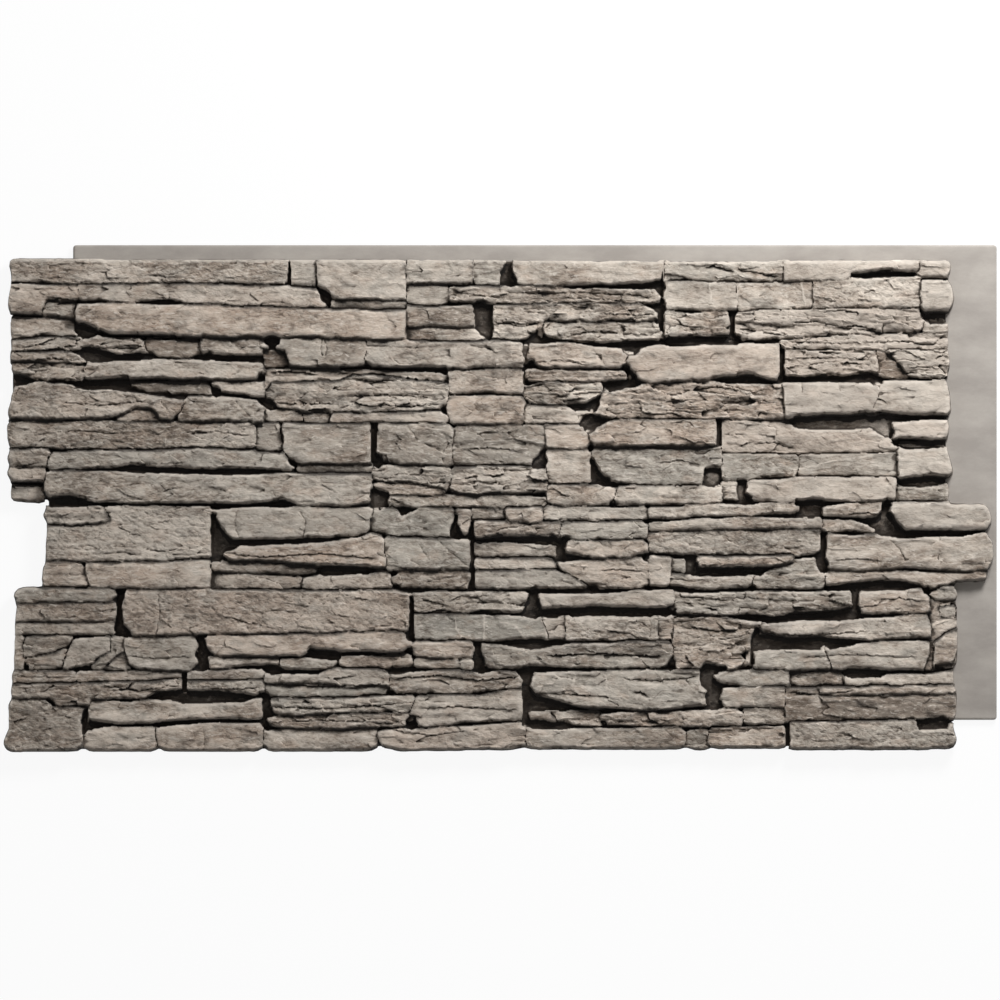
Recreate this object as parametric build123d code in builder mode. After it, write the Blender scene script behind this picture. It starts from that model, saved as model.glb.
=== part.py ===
"""Faux stone wall panel: one moulding of rigid foam with a ledge-stone face.

Built lying on its flat back, face up. +X runs along the courses and +Y across them, towards the
top of the panel. The origin is on the back, under the middle of the panel's outline.

The back half is a plain board. It shows as a flange along the top and the right end, where the
neighbouring panels lap over it, and it stops short along the left end and the bottom, where this
panel's stones lap over theirs. A projecting stack of stones on the right end fits the notch that
the next panel has in its left end.

The stones are drawn on a layout sheet, whose stations count to the right and down. A station is
the stone field's length over FIELD_LENGTH stations, and its height over FIELD_HEIGHT.
"""

import math
import os

from build123d import *

# Outline, in millimetres
PANEL_LENGTH = 1245.0
PANEL_HEIGHT = 635.0
TOP_FLANGE = 17.5  # flange that shows above the stones
TAB_MARGIN = 5.0  # flange that shows beyond the projecting stones of the right end
LEFT_LAP = 87.5  # stones that hang past the board, to cover the next panel's flange
BOTTOM_LAP = 40.0
FLANGE_CORNER_RADIUS = 4.0
FLANGE_EDGE_RADIUS = 3.0

# Levels, from the back up
FLANGE_THICKNESS = 8.0
LAP_CLEARANCE = 1.0  # play between a flange and the stones that lap over it
BED_THICKNESS = 5.0  # foam under the joints, which holds the lapping stones together
BED_LEVEL = FLANGE_THICKNESS + LAP_CLEARANCE + BED_THICKNESS

# Stones
DRAFT = 4.0  # degrees, so that the moulding leaves its mould
BREAK_WIDTH = 3.5  # the broken lower arris of a stone
BREAK_ANGLE = 52.0  # degrees that it slopes
THIN_BREAK = 0.22  # share of a thin stone's height that its break takes

# Layout sheet, in stations
FIELD_LEFT = 2.0
FIELD_TOP = 258.5
FIELD_LENGTH = 992.0
FIELD_HEIGHT = 494.0
STATION_X = (PANEL_LENGTH - TAB_MARGIN) / FIELD_LENGTH
STATION_Y = (PANEL_HEIGHT - TOP_FLANGE) / FIELD_HEIGHT

# The bed's outline, a little inside the stones' own ends
BED = [
    (12, 261), (947, 261), (947, 506), (987, 506), (987, 582), (953, 582),
    (953, 747), (12, 747), (17, 590), (48, 590), (48, 500), (12, 500),
]  # fmt: skip

# Each stone: how far its upper and lower edges stand off the bed, in millimetres, then its
# outline on the layout sheet, clockwise from the top left.
COURSE_1 = [
    ((10, 12), (8, 259), (288, 260), (286, 283), (180, 282), (90, 283), (12, 280)),
    ((5, 5), (291, 260), (313, 260), (312, 287), (292, 286)),
    ((10, 11), (319, 260), (404, 260), (403, 300), (334, 297), (321, 286)),
    ((12, 14), (10, 286), (76, 287), (76, 299), (48, 300), (41, 312), (7, 311)),
    ((7, 9), (46, 303), (75, 305), (74, 316), (43, 313)),
    ((12, 15), (79, 286), (166, 285), (167, 298), (140, 300), (82, 299)),
    ((13, 15), (171, 285), (290, 288), (311, 289), (319, 296), (324, 306), (300, 306), (190, 302), (172, 298)),
    ((6, 6), (333, 302), (404, 303), (404, 309), (333, 308)),
    ((3, 4), (10, 319), (71, 321), (73, 335), (10, 336)),
    ((15, 18), (78, 306), (110, 305), (200, 307), (320, 311), (404, 311), (404, 338), (330, 338), (316, 334),
     (230, 336), (110, 334), (95, 327), (80, 322), (76, 314)),
    ((11, 12), (408, 261), (472, 261), (471, 283), (408, 282)),
    ((8, 9), (475, 261), (505, 261), (500, 272), (499, 285), (476, 284)),
    ((7, 7), (409, 288), (446, 287), (446, 301), (440, 304), (410, 304)),
    ((11, 9), (451, 288), (500, 288), (600, 291), (655, 291), (661, 297), (659, 302), (600, 301), (490, 302), (452, 300)),
    ((12, 14), (513, 262), (662, 262), (661, 280), (640, 282), (552, 284), (520, 282), (513, 272)),
    ((12, 11), (408, 307), (470, 308), (474, 315), (474, 326), (408, 326)),
    ((6, 7), (407, 330), (476, 330), (483, 340), (410, 339)),
    ((11, 8), (494, 307), (585, 306), (640, 306), (657, 314), (657, 320), (543, 320), (536, 330), (526, 337), (494, 337)),
    ((9, 12), (547, 324), (590, 325), (658, 324), (660, 339), (600, 341), (565, 339), (546, 335)),
    ((8, 8), (667, 263), (781, 262), (781, 280), (690, 280), (667, 279)),
    ((12, 13), (786, 262), (918, 261), (918, 270), (880, 270), (850, 272), (846, 278), (786, 280)),
    ((13, 14), (921, 262), (951, 261), (950, 276), (921, 276)),
    ((12, 12), (667, 283), (735, 284), (734, 308), (668, 308)),
    ((9, 8), (738, 286), (811, 284), (811, 306), (760, 308), (739, 308)),
    ((11, 12), (814, 283), (850, 280), (919, 279), (919, 306), (850, 306), (814, 308)),
    ((16, 18), (922, 283), (951, 282), (954, 296), (952, 311), (926, 311), (921, 300)),
    ((13, 16), (666, 315), (690, 316), (728, 313), (730, 328), (728, 336), (668, 336)),
    ((11, 8), (736, 316), (765, 313), (840, 311), (917, 311), (921, 321), (918, 331), (860, 332), (800, 336),
     (745, 339), (735, 333)),
    ((6, 7), (782, 342), (860, 337), (949, 336), (948, 348), (782, 348)),
    ((7, 8), (925, 325), (949, 324), (949, 332), (926, 332)),
]  # fmt: skip

COURSE_2 = [
    ((10, 12), (10, 343), (48, 338), (75, 341), (100, 337), (139, 340), (144, 352), (118, 354), (90, 346),
     (52, 350), (12, 351)),
    ((13, 14), (9, 354), (60, 353), (78, 356), (84, 362), (60, 360), (10, 360)),
    ((10, 10), (11, 364), (62, 364), (83, 368), (81, 379), (45, 379), (25, 375), (14, 373)),
    ((5, 6), (147, 341), (196, 342), (199, 352), (188, 355), (160, 355), (149, 350)),
    ((10, 12), (204, 339), (258, 339), (266, 346), (261, 356), (230, 355), (202, 351)),
    ((13, 15), (283, 340), (364, 341), (365, 348), (361, 361), (364, 366), (290, 365), (285, 352), (278, 347)),
    ((2, 2), (263, 352), (284, 352), (288, 368), (266, 367)),
    ((13, 14), (369, 342), (521, 344), (520, 352), (522, 366), (480, 366), (440, 367), (372, 367), (367, 358)),
    ((11, 14), (90, 364), (120, 362), (160, 361), (258, 363), (263, 371), (254, 377), (220, 378), (150, 376), (88, 379)),
    ((3, 3), (130, 384), (205, 383), (208, 393), (150, 391)),
    ((8, 9), (213, 383), (262, 384), (261, 396), (240, 393), (222, 391)),
    ((14, 16), (15, 388), (38, 384), (62, 386), (88, 391), (112, 391), (150, 397), (182, 402), (180, 410),
     (171, 418), (160, 417), (152, 407), (136, 407), (108, 417), (6, 417), (12, 398)),
    ((8, 10), (116, 420), (136, 410), (150, 410), (158, 420)),
    ((12, 14), (189, 399), (232, 399), (255, 402), (263, 411), (261, 421), (180, 421), (184, 409)),
    ((5, 6), (268, 371), (350, 369), (440, 373), (446, 378), (446, 388), (268, 388)),
    ((10, 8), (270, 382), (340, 381), (352, 375), (372, 374), (420, 380), (446, 382), (446, 400), (440, 408),
     (400, 410), (356, 412), (300, 411), (279, 405), (269, 396)),
    ((2, 2), (265, 412), (299, 411), (302, 421), (267, 421)),
    ((3, 4), (302, 414), (329, 414), (327, 421), (305, 421)),
    ((8, 8), (334, 414), (380, 415), (440, 413), (447, 421), (332, 421)),
    ((10, 11), (450, 372), (520, 372), (521, 392), (452, 391)),
    ((10, 11), (450, 398), (521, 398), (523, 406), (521, 422), (475, 423), (453, 422), (449, 410)),
    ((12, 14), (531, 345), (560, 345), (592, 348), (621, 350), (625, 358), (620, 366), (590, 366), (540, 365), (529, 359)),
    ((9, 10), (528, 371), (600, 372), (624, 373), (626, 379), (605, 380), (560, 380), (529, 379)),
    ((10, 8), (538, 385), (600, 384), (600, 390), (594, 397), (587, 402), (560, 403), (532, 403), (525, 395), (528, 388)),
    ((7, 8), (528, 407), (560, 407), (575, 413), (588, 412), (579, 422), (527, 422), (524, 414)),
    ((15, 17), (642, 350), (660, 347), (700, 346), (778, 346), (779, 372), (776, 379), (748, 374), (720, 376),
     (700, 380), (650, 382), (637, 377), (628, 361)),
    ((11, 9), (606, 394), (645, 386), (700, 384), (779, 386), (781, 396), (783, 417), (720, 417), (660, 418), (595, 416)),
    ((9, 11), (787, 352), (838, 353), (850, 351), (875, 353), (877, 362), (876, 371), (858, 374), (787, 375), (785, 366)),
    ((4, 4), (879, 353), (890, 353), (908, 377), (881, 375)),
    ((9, 11), (885, 352), (950, 352), (949, 375), (940, 377), (908, 375), (900, 364)),
    ((15, 17), (785, 384), (870, 384), (876, 389), (876, 400), (871, 409), (860, 413), (787, 417), (786, 400)),
    ((14, 16), (884, 384), (943, 381), (949, 389), (950, 401), (951, 414), (893, 413), (874, 410), (881, 395)),
]  # fmt: skip

COURSE_3 = [
    ((9, 9), (6, 423), (250, 423), (255, 430), (253, 447), (200, 446), (160, 448), (8, 447)),
    ((4, 4), (258, 425), (276, 425), (279, 452), (258, 451)),
    ((10, 11), (285, 425), (369, 425), (369, 463), (301, 462), (288, 454)),
    ((13, 15), (9, 451), (46, 450), (49, 456), (44, 465), (7, 465)),
    ((12, 14), (5, 469), (43, 469), (43, 480), (10, 480)),
    ((13, 15), (54, 454), (110, 453), (170, 452), (200, 449), (255, 453), (283, 455), (291, 469), (260, 468),
     (190, 467), (130, 464), (108, 467), (78, 468), (51, 467), (48, 460)),
    ((6, 6), (299, 466), (369, 466), (369, 472), (299, 472)),
    ((15, 17), (49, 474), (70, 471), (84, 473), (130, 474), (240, 477), (290, 475), (369, 475), (370, 502),
     (345, 505), (300, 503), (283, 499), (250, 502), (100, 501), (68, 495), (51, 496), (46, 489)),
    ((3, 3), (10, 488), (42, 488), (42, 503), (10, 501)),
    ((11, 12), (380, 425), (448, 426), (453, 433), (450, 442), (450, 464), (408, 462), (384, 460), (377, 452)),
    ((8, 6), (457, 427), (543, 427), (544, 449), (529, 463), (456, 464), (454, 450)),
    ((10, 11), (546, 426), (582, 427), (587, 444), (584, 448), (549, 448)),
    ((13, 15), (597, 428), (620, 421), (640, 421), (715, 422), (716, 430), (715, 444), (660, 445), (595, 444), (592, 437)),
    ((9, 8), (548, 452), (586, 451), (589, 461), (591, 482), (549, 481)),
    ((8, 10), (596, 450), (658, 450), (676, 450), (719, 448), (720, 467), (704, 468), (702, 478), (698, 484),
     (640, 484), (621, 481), (612, 480), (602, 474), (594, 461)),
    ((9, 10), (374, 471), (389, 467), (448, 469), (449, 479), (446, 489), (420, 484), (400, 480), (376, 479)),
    ((7, 8), (377, 484), (412, 484), (438, 488), (444, 493), (400, 493), (379, 491)),
    ((11, 13), (455, 470), (500, 468), (544, 471), (545, 491), (520, 492), (480, 493), (452, 490)),
    ((5, 7), (723, 423), (781, 422), (800, 430), (845, 431), (870, 429), (888, 441), (896, 450), (800, 452),
     (740, 452), (723, 451)),
    ((8, 8), (724, 456), (770, 455), (795, 457), (797, 468), (793, 475), (740, 478), (724, 478)),
    ((8, 8), (803, 457), (895, 455), (895, 475), (830, 474), (801, 474)),
    ((13, 15), (893, 424), (920, 422), (949, 422), (949, 430), (947, 439), (920, 439), (896, 438)),
    ((15, 17), (899, 450), (947, 449), (950, 458), (954, 477), (930, 475), (901, 478)),
    ((5, 6), (898, 488), (925, 488), (949, 485), (949, 499), (898, 499)),
    ((12, 14), (750, 483), (790, 480), (894, 479), (894, 498), (800, 500), (756, 499), (746, 493)),
    ((4, 4), (724, 483), (736, 483), (736, 499), (724, 498)),
    ((11, 12), (549, 487), (600, 487), (614, 490), (608, 503), (560, 504), (549, 500)),
    ((12, 12), (620, 488), (719, 488), (721, 494), (720, 502), (617, 503)),
]  # fmt: skip

COURSE_4 = [
    ((14, 15), (46, 509), (60, 508), (100, 508), (110, 520), (88, 522), (70, 525), (49, 523), (42, 516)),
    ((12, 12), (105, 509), (209, 508), (210, 556), (190, 557), (150, 560), (45, 560), (47, 528), (70, 529),
     (96, 526), (115, 522)),
    ((11, 11), (44, 563), (78, 563), (84, 575), (86, 587), (41, 587)),
    ((13, 15), (88, 565), (208, 562), (209, 586), (180, 587), (92, 587), (88, 575)),
    ((13, 14), (217, 511), (240, 509), (369, 509), (370, 516), (365, 533), (354, 535), (300, 537), (233, 539),
     (223, 530), (216, 519)),
    ((14, 16), (223, 554), (240, 548), (290, 546), (340, 543), (362, 539), (370, 535), (380, 538), (382, 550),
     (385, 565), (330, 565), (300, 563), (268, 560), (230, 559)),
    ((7, 7), (213, 563), (262, 563), (314, 566), (314, 572), (213, 570)),
    ((3, 5), (213, 575), (262, 577), (300, 579), (298, 588), (213, 588)),
    ((8, 10), (304, 580), (330, 577), (374, 574), (381, 571), (388, 575), (389, 587), (372, 588), (330, 589), (304, 588)),
    ((9, 7), (377, 511), (392, 510), (401, 517), (420, 511), (450, 510), (454, 516), (451, 526), (448, 535),
     (400, 536), (386, 533), (373, 530), (372, 519)),
    ((12, 13), (458, 511), (470, 511), (470, 525), (466, 533), (461, 530), (458, 522)),
    ((11, 12), (388, 539), (470, 541), (470, 568), (450, 569), (389, 568), (386, 552)),
    ((7, 6), (401, 573), (470, 573), (470, 580), (466, 587), (402, 586), (392, 582)),
    ((8, 9), (389, 498), (430, 499), (450, 496), (500, 496), (544, 500), (545, 506), (508, 506), (500, 509),
     (472, 505), (389, 505)),
    ((6, 6), (473, 509), (503, 510), (503, 519), (473, 519)),
    ((13, 15), (506, 509), (541, 508), (541, 520), (530, 522), (509, 521)),
    ((9, 10), (545, 509), (643, 509), (646, 518), (600, 520), (545, 520)),
    ((13, 15), (474, 523), (500, 522), (540, 525), (560, 523), (558, 535), (510, 535), (475, 536)),
    ((13, 15), (564, 524), (640, 522), (646, 527), (645, 537), (600, 539), (580, 539), (562, 535)),
    ((3, 3), (475, 544), (520, 545), (556, 547), (554, 555), (475, 555)),
    ((14, 16), (570, 543), (600, 542), (641, 542), (647, 547), (646, 552), (620, 557), (598, 557), (567, 553), (566, 548)),
    ((6, 7), (475, 561), (520, 560), (550, 561), (556, 568), (475, 568)),
    ((11, 12), (476, 573), (555, 572), (572, 579), (587, 587), (477, 587)),
    ((12, 10), (559, 563), (600, 561), (640, 559), (646, 566), (647, 583), (640, 586), (600, 587), (590, 583),
     (574, 576), (562, 569)),
    ((12, 13), (650, 510), (680, 509), (690, 506), (799, 506), (799, 512), (770, 513), (700, 514), (672, 517), (651, 517)),
    ((13, 11), (651, 525), (706, 521), (820, 520), (821, 528), (700, 529), (651, 531)),
    ((8, 9), (651, 534), (700, 532), (820, 531), (820, 551), (794, 554), (724, 555), (651, 551)),
    ((15, 17), (698, 558), (791, 556), (792, 562), (760, 566), (700, 567)),
    ((12, 12), (651, 558), (669, 559), (669, 571), (666, 585), (652, 584)),
    ((4, 4), (673, 561), (685, 561), (684, 573), (673, 572)),
    ((9, 10), (673, 576), (700, 578), (752, 577), (747, 586), (720, 587), (700, 587), (673, 585)),
    ((8, 9), (796, 562), (814, 560), (817, 569), (822, 578), (821, 587), (758, 587), (755, 580), (768, 573)),
    ((12, 14), (823, 509), (850, 505), (881, 504), (881, 512), (878, 517), (855, 515), (823, 515)),
    ((9, 9), (824, 521), (850, 522), (868, 526), (874, 531), (840, 530), (824, 530)),
    ((16, 18), (893, 505), (984, 505), (990, 511), (992, 523), (988, 528), (960, 529), (905, 529), (896, 521), (890, 511)),
    ((14, 14), (828, 536), (850, 538), (870, 536), (900, 539), (960, 538), (984, 535), (992, 540), (994, 554),
     (991, 568), (960, 569), (940, 568), (900, 566), (870, 569), (831, 568), (827, 558)),
    ((10, 12), (828, 574), (870, 574), (900, 573), (988, 574), (986, 581), (950, 583), (930, 586), (905, 581),
     (870, 580), (850, 583), (829, 584)),
]  # fmt: skip

COURSE_5 = [
    ((13, 14), (22, 588), (111, 589), (117, 595), (106, 601), (40, 601), (17, 602), (13, 597), (15, 591)),
    ((12, 12), (17, 606), (40, 605), (103, 605), (113, 603), (116, 612), (114, 620), (60, 621), (15, 621)),
    ((9, 9), (15, 625), (112, 624), (112, 632), (80, 633), (15, 633)),
    ((14, 14), (126, 592), (200, 591), (300, 593), (395, 592), (409, 595), (409, 612), (408, 629), (330, 631),
     (200, 633), (136, 635), (124, 625), (122, 608)),
    ((9, 9), (414, 595), (455, 594), (529, 594), (527, 601), (521, 611), (416, 611)),
    ((13, 13), (539, 596), (600, 595), (671, 592), (671, 603), (667, 607), (600, 606), (542, 608)),
    ((9, 8), (415, 617), (453, 616), (540, 620), (547, 638), (480, 639), (416, 637)),
    ((9, 10), (544, 620), (563, 619), (563, 638), (551, 638)),
    ((11, 11), (567, 618), (656, 618), (656, 639), (567, 639)),
    ((8, 8), (660, 619), (671, 618), (670, 639), (660, 639)),
    ((12, 13), (677, 595), (850, 593), (853, 606), (838, 609), (800, 612), (770, 615), (752, 613), (678, 613)),
    ((12, 12), (861, 592), (920, 591), (927, 600), (932, 611), (900, 612), (863, 612), (859, 603)),
    ((7, 7), (932, 594), (944, 589), (957, 589), (959, 598), (953, 600), (936, 600)),
    ((4, 4), (930, 602), (957, 602), (957, 666), (927, 668), (932, 640)),
    ((6, 6), (938, 607), (956, 604), (957, 620), (941, 619)),
    ((6, 6), (14, 638), (22, 638), (20, 668), (14, 668)),
    ((10, 8), (28, 639), (50, 638), (70, 637), (66, 646), (45, 653), (26, 655), (24, 647)),
    ((8, 7), (27, 660), (50, 656), (66, 650), (60, 668), (32, 668)),
    ((10, 9), (76, 641), (108, 638), (108, 650), (100, 655), (88, 664), (64, 668), (68, 655)),
    ((8, 9), (112, 639), (120, 638), (122, 650), (114, 658), (105, 668), (93, 668), (103, 658), (111, 652)),
    ((7, 7), (116, 658), (124, 655), (129, 669), (104, 669)),
    ((11, 12), (128, 639), (193, 638), (197, 646), (194, 656), (197, 663), (189, 669), (140, 669), (130, 663), (126, 650)),
    ((13, 14), (204, 638), (300, 636), (402, 633), (409, 645), (402, 650), (340, 650), (310, 648), (300, 655),
     (215, 653), (208, 648)),
    ((8, 9), (208, 659), (250, 660), (277, 658), (277, 663), (245, 664), (212, 667)),
    ((9, 10), (281, 660), (316, 660), (334, 662), (330, 667), (310, 668), (284, 668)),
    ((5, 6), (342, 658), (380, 658), (408, 656), (409, 665), (380, 667), (342, 667)),
    ((10, 10), (415, 644), (440, 645), (470, 643), (474, 647), (472, 657), (440, 657), (416, 655)),
    ((7, 7), (417, 660), (456, 661), (458, 667), (417, 666)),
    ((8, 8), (462, 661), (473, 662), (473, 668), (463, 668)),
    ((14, 10), (482, 645), (530, 651), (575, 645), (668, 644), (671, 651), (666, 665), (600, 667), (540, 665),
     (500, 668), (486, 665), (483, 655)),
    ((10, 11), (676, 618), (722, 619), (759, 624), (752, 634), (749, 646), (740, 656), (748, 664), (730, 667),
     (706, 663), (700, 667), (678, 667), (675, 640)),
    ((12, 13), (764, 626), (800, 622), (860, 621), (924, 617), (932, 628), (930, 636), (868, 638), (840, 638),
     (820, 636), (790, 637), (765, 632)),
    ((10, 10), (754, 652), (822, 651), (829, 668), (756, 669)),
    ((11, 10), (829, 651), (865, 645), (929, 643), (928, 655), (923, 668), (834, 668)),
    ((8, 9), (934, 642), (944, 634), (957, 628), (958, 650), (954, 664), (932, 668), (933, 655)),
]  # fmt: skip

COURSE_6 = [
    ((9, 9), (10, 674), (72, 674), (75, 680), (12, 682)),
    ((7, 7), (80, 674), (180, 672), (181, 678), (108, 681), (80, 681)),
    ((11, 13), (11, 686), (70, 685), (110, 684), (155, 683), (180, 680), (181, 689), (160, 690), (144, 696),
     (90, 697), (88, 705), (60, 706), (50, 697), (11, 697)),
    ((8, 8), (188, 673), (262, 672), (261, 678), (188, 679)),
    ((11, 12), (187, 683), (261, 682), (263, 689), (254, 693), (232, 691), (190, 690)),
    ((12, 13), (266, 677), (318, 676), (330, 670), (378, 670), (386, 675), (388, 685), (345, 686), (320, 682), (266, 682)),
    ((9, 8), (266, 686), (318, 685), (345, 689), (386, 688), (384, 694), (345, 696), (300, 696), (268, 694)),
    ((12, 8), (393, 677), (410, 674), (460, 673), (470, 676), (515, 674), (522, 680), (519, 687), (460, 692),
     (398, 693), (392, 688)),
    ((12, 13), (272, 702), (300, 700), (360, 699), (412, 697), (409, 709), (380, 711), (335, 711), (295, 714),
     (280, 714), (271, 708)),
    ((11, 12), (266, 719), (300, 718), (340, 716), (380, 716), (406, 714), (404, 724), (370, 726), (300, 727), (270, 724)),
    ((7, 8), (266, 733), (374, 730), (374, 751), (266, 751)),
    ((11, 12), (418, 698), (480, 698), (500, 693), (519, 691), (522, 700), (521, 718), (460, 722), (442, 725),
     (420, 724), (412, 713)),
    ((10, 11), (380, 733), (430, 730), (470, 728), (520, 724), (523, 732), (524, 749), (470, 750), (400, 751), (384, 747)),
    ((12, 15), (534, 675), (600, 673), (655, 672), (698, 674), (700, 686), (706, 692), (704, 705), (640, 708),
     (596, 707), (570, 703), (548, 698), (536, 696), (531, 686)),
    ((7, 7), (529, 713), (547, 713), (556, 720), (530, 719)),
    ((5, 6), (552, 713), (598, 712), (600, 724), (575, 723), (558, 719)),
    ((8, 9), (600, 716), (660, 713), (735, 711), (741, 716), (740, 724), (700, 725), (650, 724), (602, 723)),
    ((7, 7), (746, 711), (783, 711), (783, 722), (747, 723)),
    ((9, 10), (714, 676), (735, 673), (788, 673), (789, 685), (760, 685), (730, 683), (717, 681)),
    ((9, 9), (724, 690), (784, 689), (784, 705), (727, 706), (721, 699)),
    ((12, 14), (9, 701), (44, 701), (52, 709), (84, 709), (80, 722), (81, 731), (80, 751), (9, 752.5), (2, 744), (9, 729)),
    ((10, 12), (91, 703), (130, 704), (170, 701), (182, 705), (240, 704), (261, 700), (261, 718), (200, 717),
     (150, 721), (120, 722), (91, 720)),
    ((8, 8), (86, 734), (95, 730), (152, 729), (156, 751), (86, 751)),
    ((8, 8), (157, 730), (200, 725), (245, 725), (260, 726), (260, 751), (161, 751)),
    ((9, 8), (529, 730), (560, 731), (600, 732), (680, 730), (685, 737), (682, 749), (530, 749), (527, 740)),
    ((6, 6), (690, 733), (707, 731), (704, 744), (710, 750), (694, 750), (687, 746)),
    ((9, 10), (713, 730), (783, 729), (785, 748), (718, 749), (709, 743), (711, 736)),
    ((10, 12), (791, 724), (915, 722), (919, 731), (948, 730), (952, 725), (957, 740), (954, 749), (791, 750)),
    ((9, 7), (787, 691), (956, 689), (957, 718), (787, 720)),
    ((12, 12), (818, 690), (870, 688), (956, 687), (957, 695), (820, 697)),
    ((2, 2), (790, 674), (838, 673), (845, 685), (792, 684)),
    ((8, 9), (845, 680), (880, 679), (890, 676), (925, 677), (953, 672), (955, 684), (900, 684), (845, 685)),
]  # fmt: skip

STONES = COURSE_1 + COURSE_2 + COURSE_3 + COURSE_4 + COURSE_5 + COURSE_6


def on_panel(station):
    """A point of the layout sheet as a point of the panel, in millimetres."""
    across, down = station
    x = (across - FIELD_LEFT) * STATION_X - PANEL_LENGTH / 2
    y = PANEL_HEIGHT / 2 - TOP_FLANGE - (down - FIELD_TOP) * STATION_Y
    return x, y


def stone_body(upper, lower, *stations):
    """A drafted stone that stands on the flange's level, its face cut to its two stand-offs, and
    the face's lower edge broken off."""
    outline = [on_panel(station) for station in reversed(stations)]
    top = max(y for _, y in outline)
    bottom = min(y for _, y in outline)
    rise = (upper - lower) / (top - bottom)
    face = Plane((0, bottom, BED_LEVEL + lower)).rotated((math.degrees(math.atan(rise)), 0, 0))
    width = min(BREAK_WIDTH, THIN_BREAK * (top - bottom))
    arris = Plane((0, bottom + width, BED_LEVEL + lower + rise * width)).rotated((BREAK_ANGLE, 0, 0))
    with BuildPart() as stone:
        with BuildSketch(Plane.XY.offset(FLANGE_THICKNESS)):
            with BuildLine():
                Polyline(*outline, close=True)
            make_face()
        extrude(amount=BED_LEVEL + max(upper, lower), taper=DRAFT)
        split(bisect_by=face, keep=Keep.BOTTOM)
        split(bisect_by=arris, keep=Keep.BOTTOM)
    return stone.part


# The board: flat back, with rounded corners and front edge where it shows as a flange
board_left = -PANEL_LENGTH / 2 + LEFT_LAP
board_bottom = -PANEL_HEIGHT / 2 + BOTTOM_LAP
board_right = PANEL_LENGTH / 2
board_top = PANEL_HEIGHT / 2
with BuildPart() as board:
    with BuildSketch():
        with Locations((board_left, board_bottom)):
            Rectangle(board_right - board_left, board_top - board_bottom, align=(Align.MIN, Align.MIN))
    extrude(amount=FLANGE_THICKNESS)
    fillet(board.edges().filter_by(Axis.Z), radius=FLANGE_CORNER_RADIUS)
    fillet(board.edges().group_by(Axis.Z)[-1], radius=FLANGE_EDGE_RADIUS)

# The panel: board, bed and stones in one moulding
stone_bodies = [stone_body(*heights, *outline) for heights, *outline in STONES]
with BuildPart() as panel:
    add(board.part)
    with BuildSketch(Plane.XY.offset(FLANGE_THICKNESS)):
        with BuildLine():
            Polyline(*[on_panel(station) for station in BED], close=True)
        make_face()
    extrude(amount=BED_LEVEL - FLANGE_THICKNESS)
    add(stone_bodies)
    # Play under the stones that lap over the next panels' flanges
    with BuildSketch(Plane.XY.offset(FLANGE_THICKNESS)):
        Rectangle(2 * PANEL_LENGTH, 2 * PANEL_HEIGHT)
        with Locations((board_left, board_bottom)):
            Rectangle(2 * PANEL_LENGTH, 2 * PANEL_HEIGHT, align=(Align.MIN, Align.MIN), mode=Mode.SUBTRACT)
    extrude(amount=LAP_CLEARANCE, mode=Mode.SUBTRACT)

panel.part.label = "wall_panel"

os.makedirs("parts", exist_ok=True)
export_step(panel.part, "parts/wall_panel.step")
box = panel.part.bounding_box()
print(f"wall_panel: {box.size.X:.1f} x {box.size.Y:.1f} x {box.size.Z:.1f} mm, {len(STONES)} stones")
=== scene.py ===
"""Looks of the faux stone wall panel.

Lengths are in metres, as in the frame. The relief is worked out in millimetres: so are the names
that end in _MM, the arrays X, Y and relief, and every length that a relief function takes.
"""

import math

import bmesh
import bpy
import numpy as np
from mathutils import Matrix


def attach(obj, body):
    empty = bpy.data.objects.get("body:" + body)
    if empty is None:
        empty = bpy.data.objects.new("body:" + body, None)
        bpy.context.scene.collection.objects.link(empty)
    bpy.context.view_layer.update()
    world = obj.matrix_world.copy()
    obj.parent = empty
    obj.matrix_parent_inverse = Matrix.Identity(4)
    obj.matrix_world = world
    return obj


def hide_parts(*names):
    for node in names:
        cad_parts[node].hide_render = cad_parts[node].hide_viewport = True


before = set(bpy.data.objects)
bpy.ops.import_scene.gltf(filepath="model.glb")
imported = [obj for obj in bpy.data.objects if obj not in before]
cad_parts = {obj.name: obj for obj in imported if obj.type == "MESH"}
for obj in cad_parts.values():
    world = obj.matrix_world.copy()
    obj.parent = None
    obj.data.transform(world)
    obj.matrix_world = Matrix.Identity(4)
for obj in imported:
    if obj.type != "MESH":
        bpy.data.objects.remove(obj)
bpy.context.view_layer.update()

NODE = "wall_panel"
MM = 0.001

# Levels of the moulding
FLANGE_LEVEL_MM = 8.0
LAP_LEVEL_MM = 9.0
BED_LEVEL_MM = 14.0

# Layout sheet of the stones: the photograph's pixels, which marks further down are given in
SHEET_LEFT = 2.0
SHEET_TOP = 258.5
SHEET_SCALE_MM = 1.25
TOP_FLANGE_MM = 17.5

# The relief's grid
GRID_MM = 1.25
MARGIN_MM = 6.0
OUTSIDE_MM = -12.0  # level of the grid where there is no panel
TRIANGLES = 196000


# Noise
HASH_X = 374761393
HASH_Y = 668265263
HASH_SEED = 974634777
HASH_FIRST = 1274126177
HASH_SECOND = 2246822519
WORD = 0xFFFFFFFF
HALF_WORD = 2147483648.0
NOISE_GAIN = 1.5
OCTAVE_SEEDS = 31
CELL_SCATTER = 0.45
TINY = 1e-9
FAR = 1e9


def hashed(ix, iy, seed):
    """Numbers from -1 to 1 that depend on the lattice point and the seed only."""
    h = ix.astype(np.int64) * HASH_X + iy.astype(np.int64) * HASH_Y + int(seed) * HASH_SEED
    h = (h ^ (h >> 13)) & WORD
    h = (h * HASH_FIRST) & WORD
    h = (h ^ (h >> 15)) & WORD
    h = (h * HASH_SECOND) & WORD
    h = h ^ (h >> 16)
    return h.astype(np.float64) / HALF_WORD - 1.0


def picked(number, seed):
    """One number from -1 to 1."""
    return float(hashed(np.array(number), np.array(0), seed))


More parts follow.
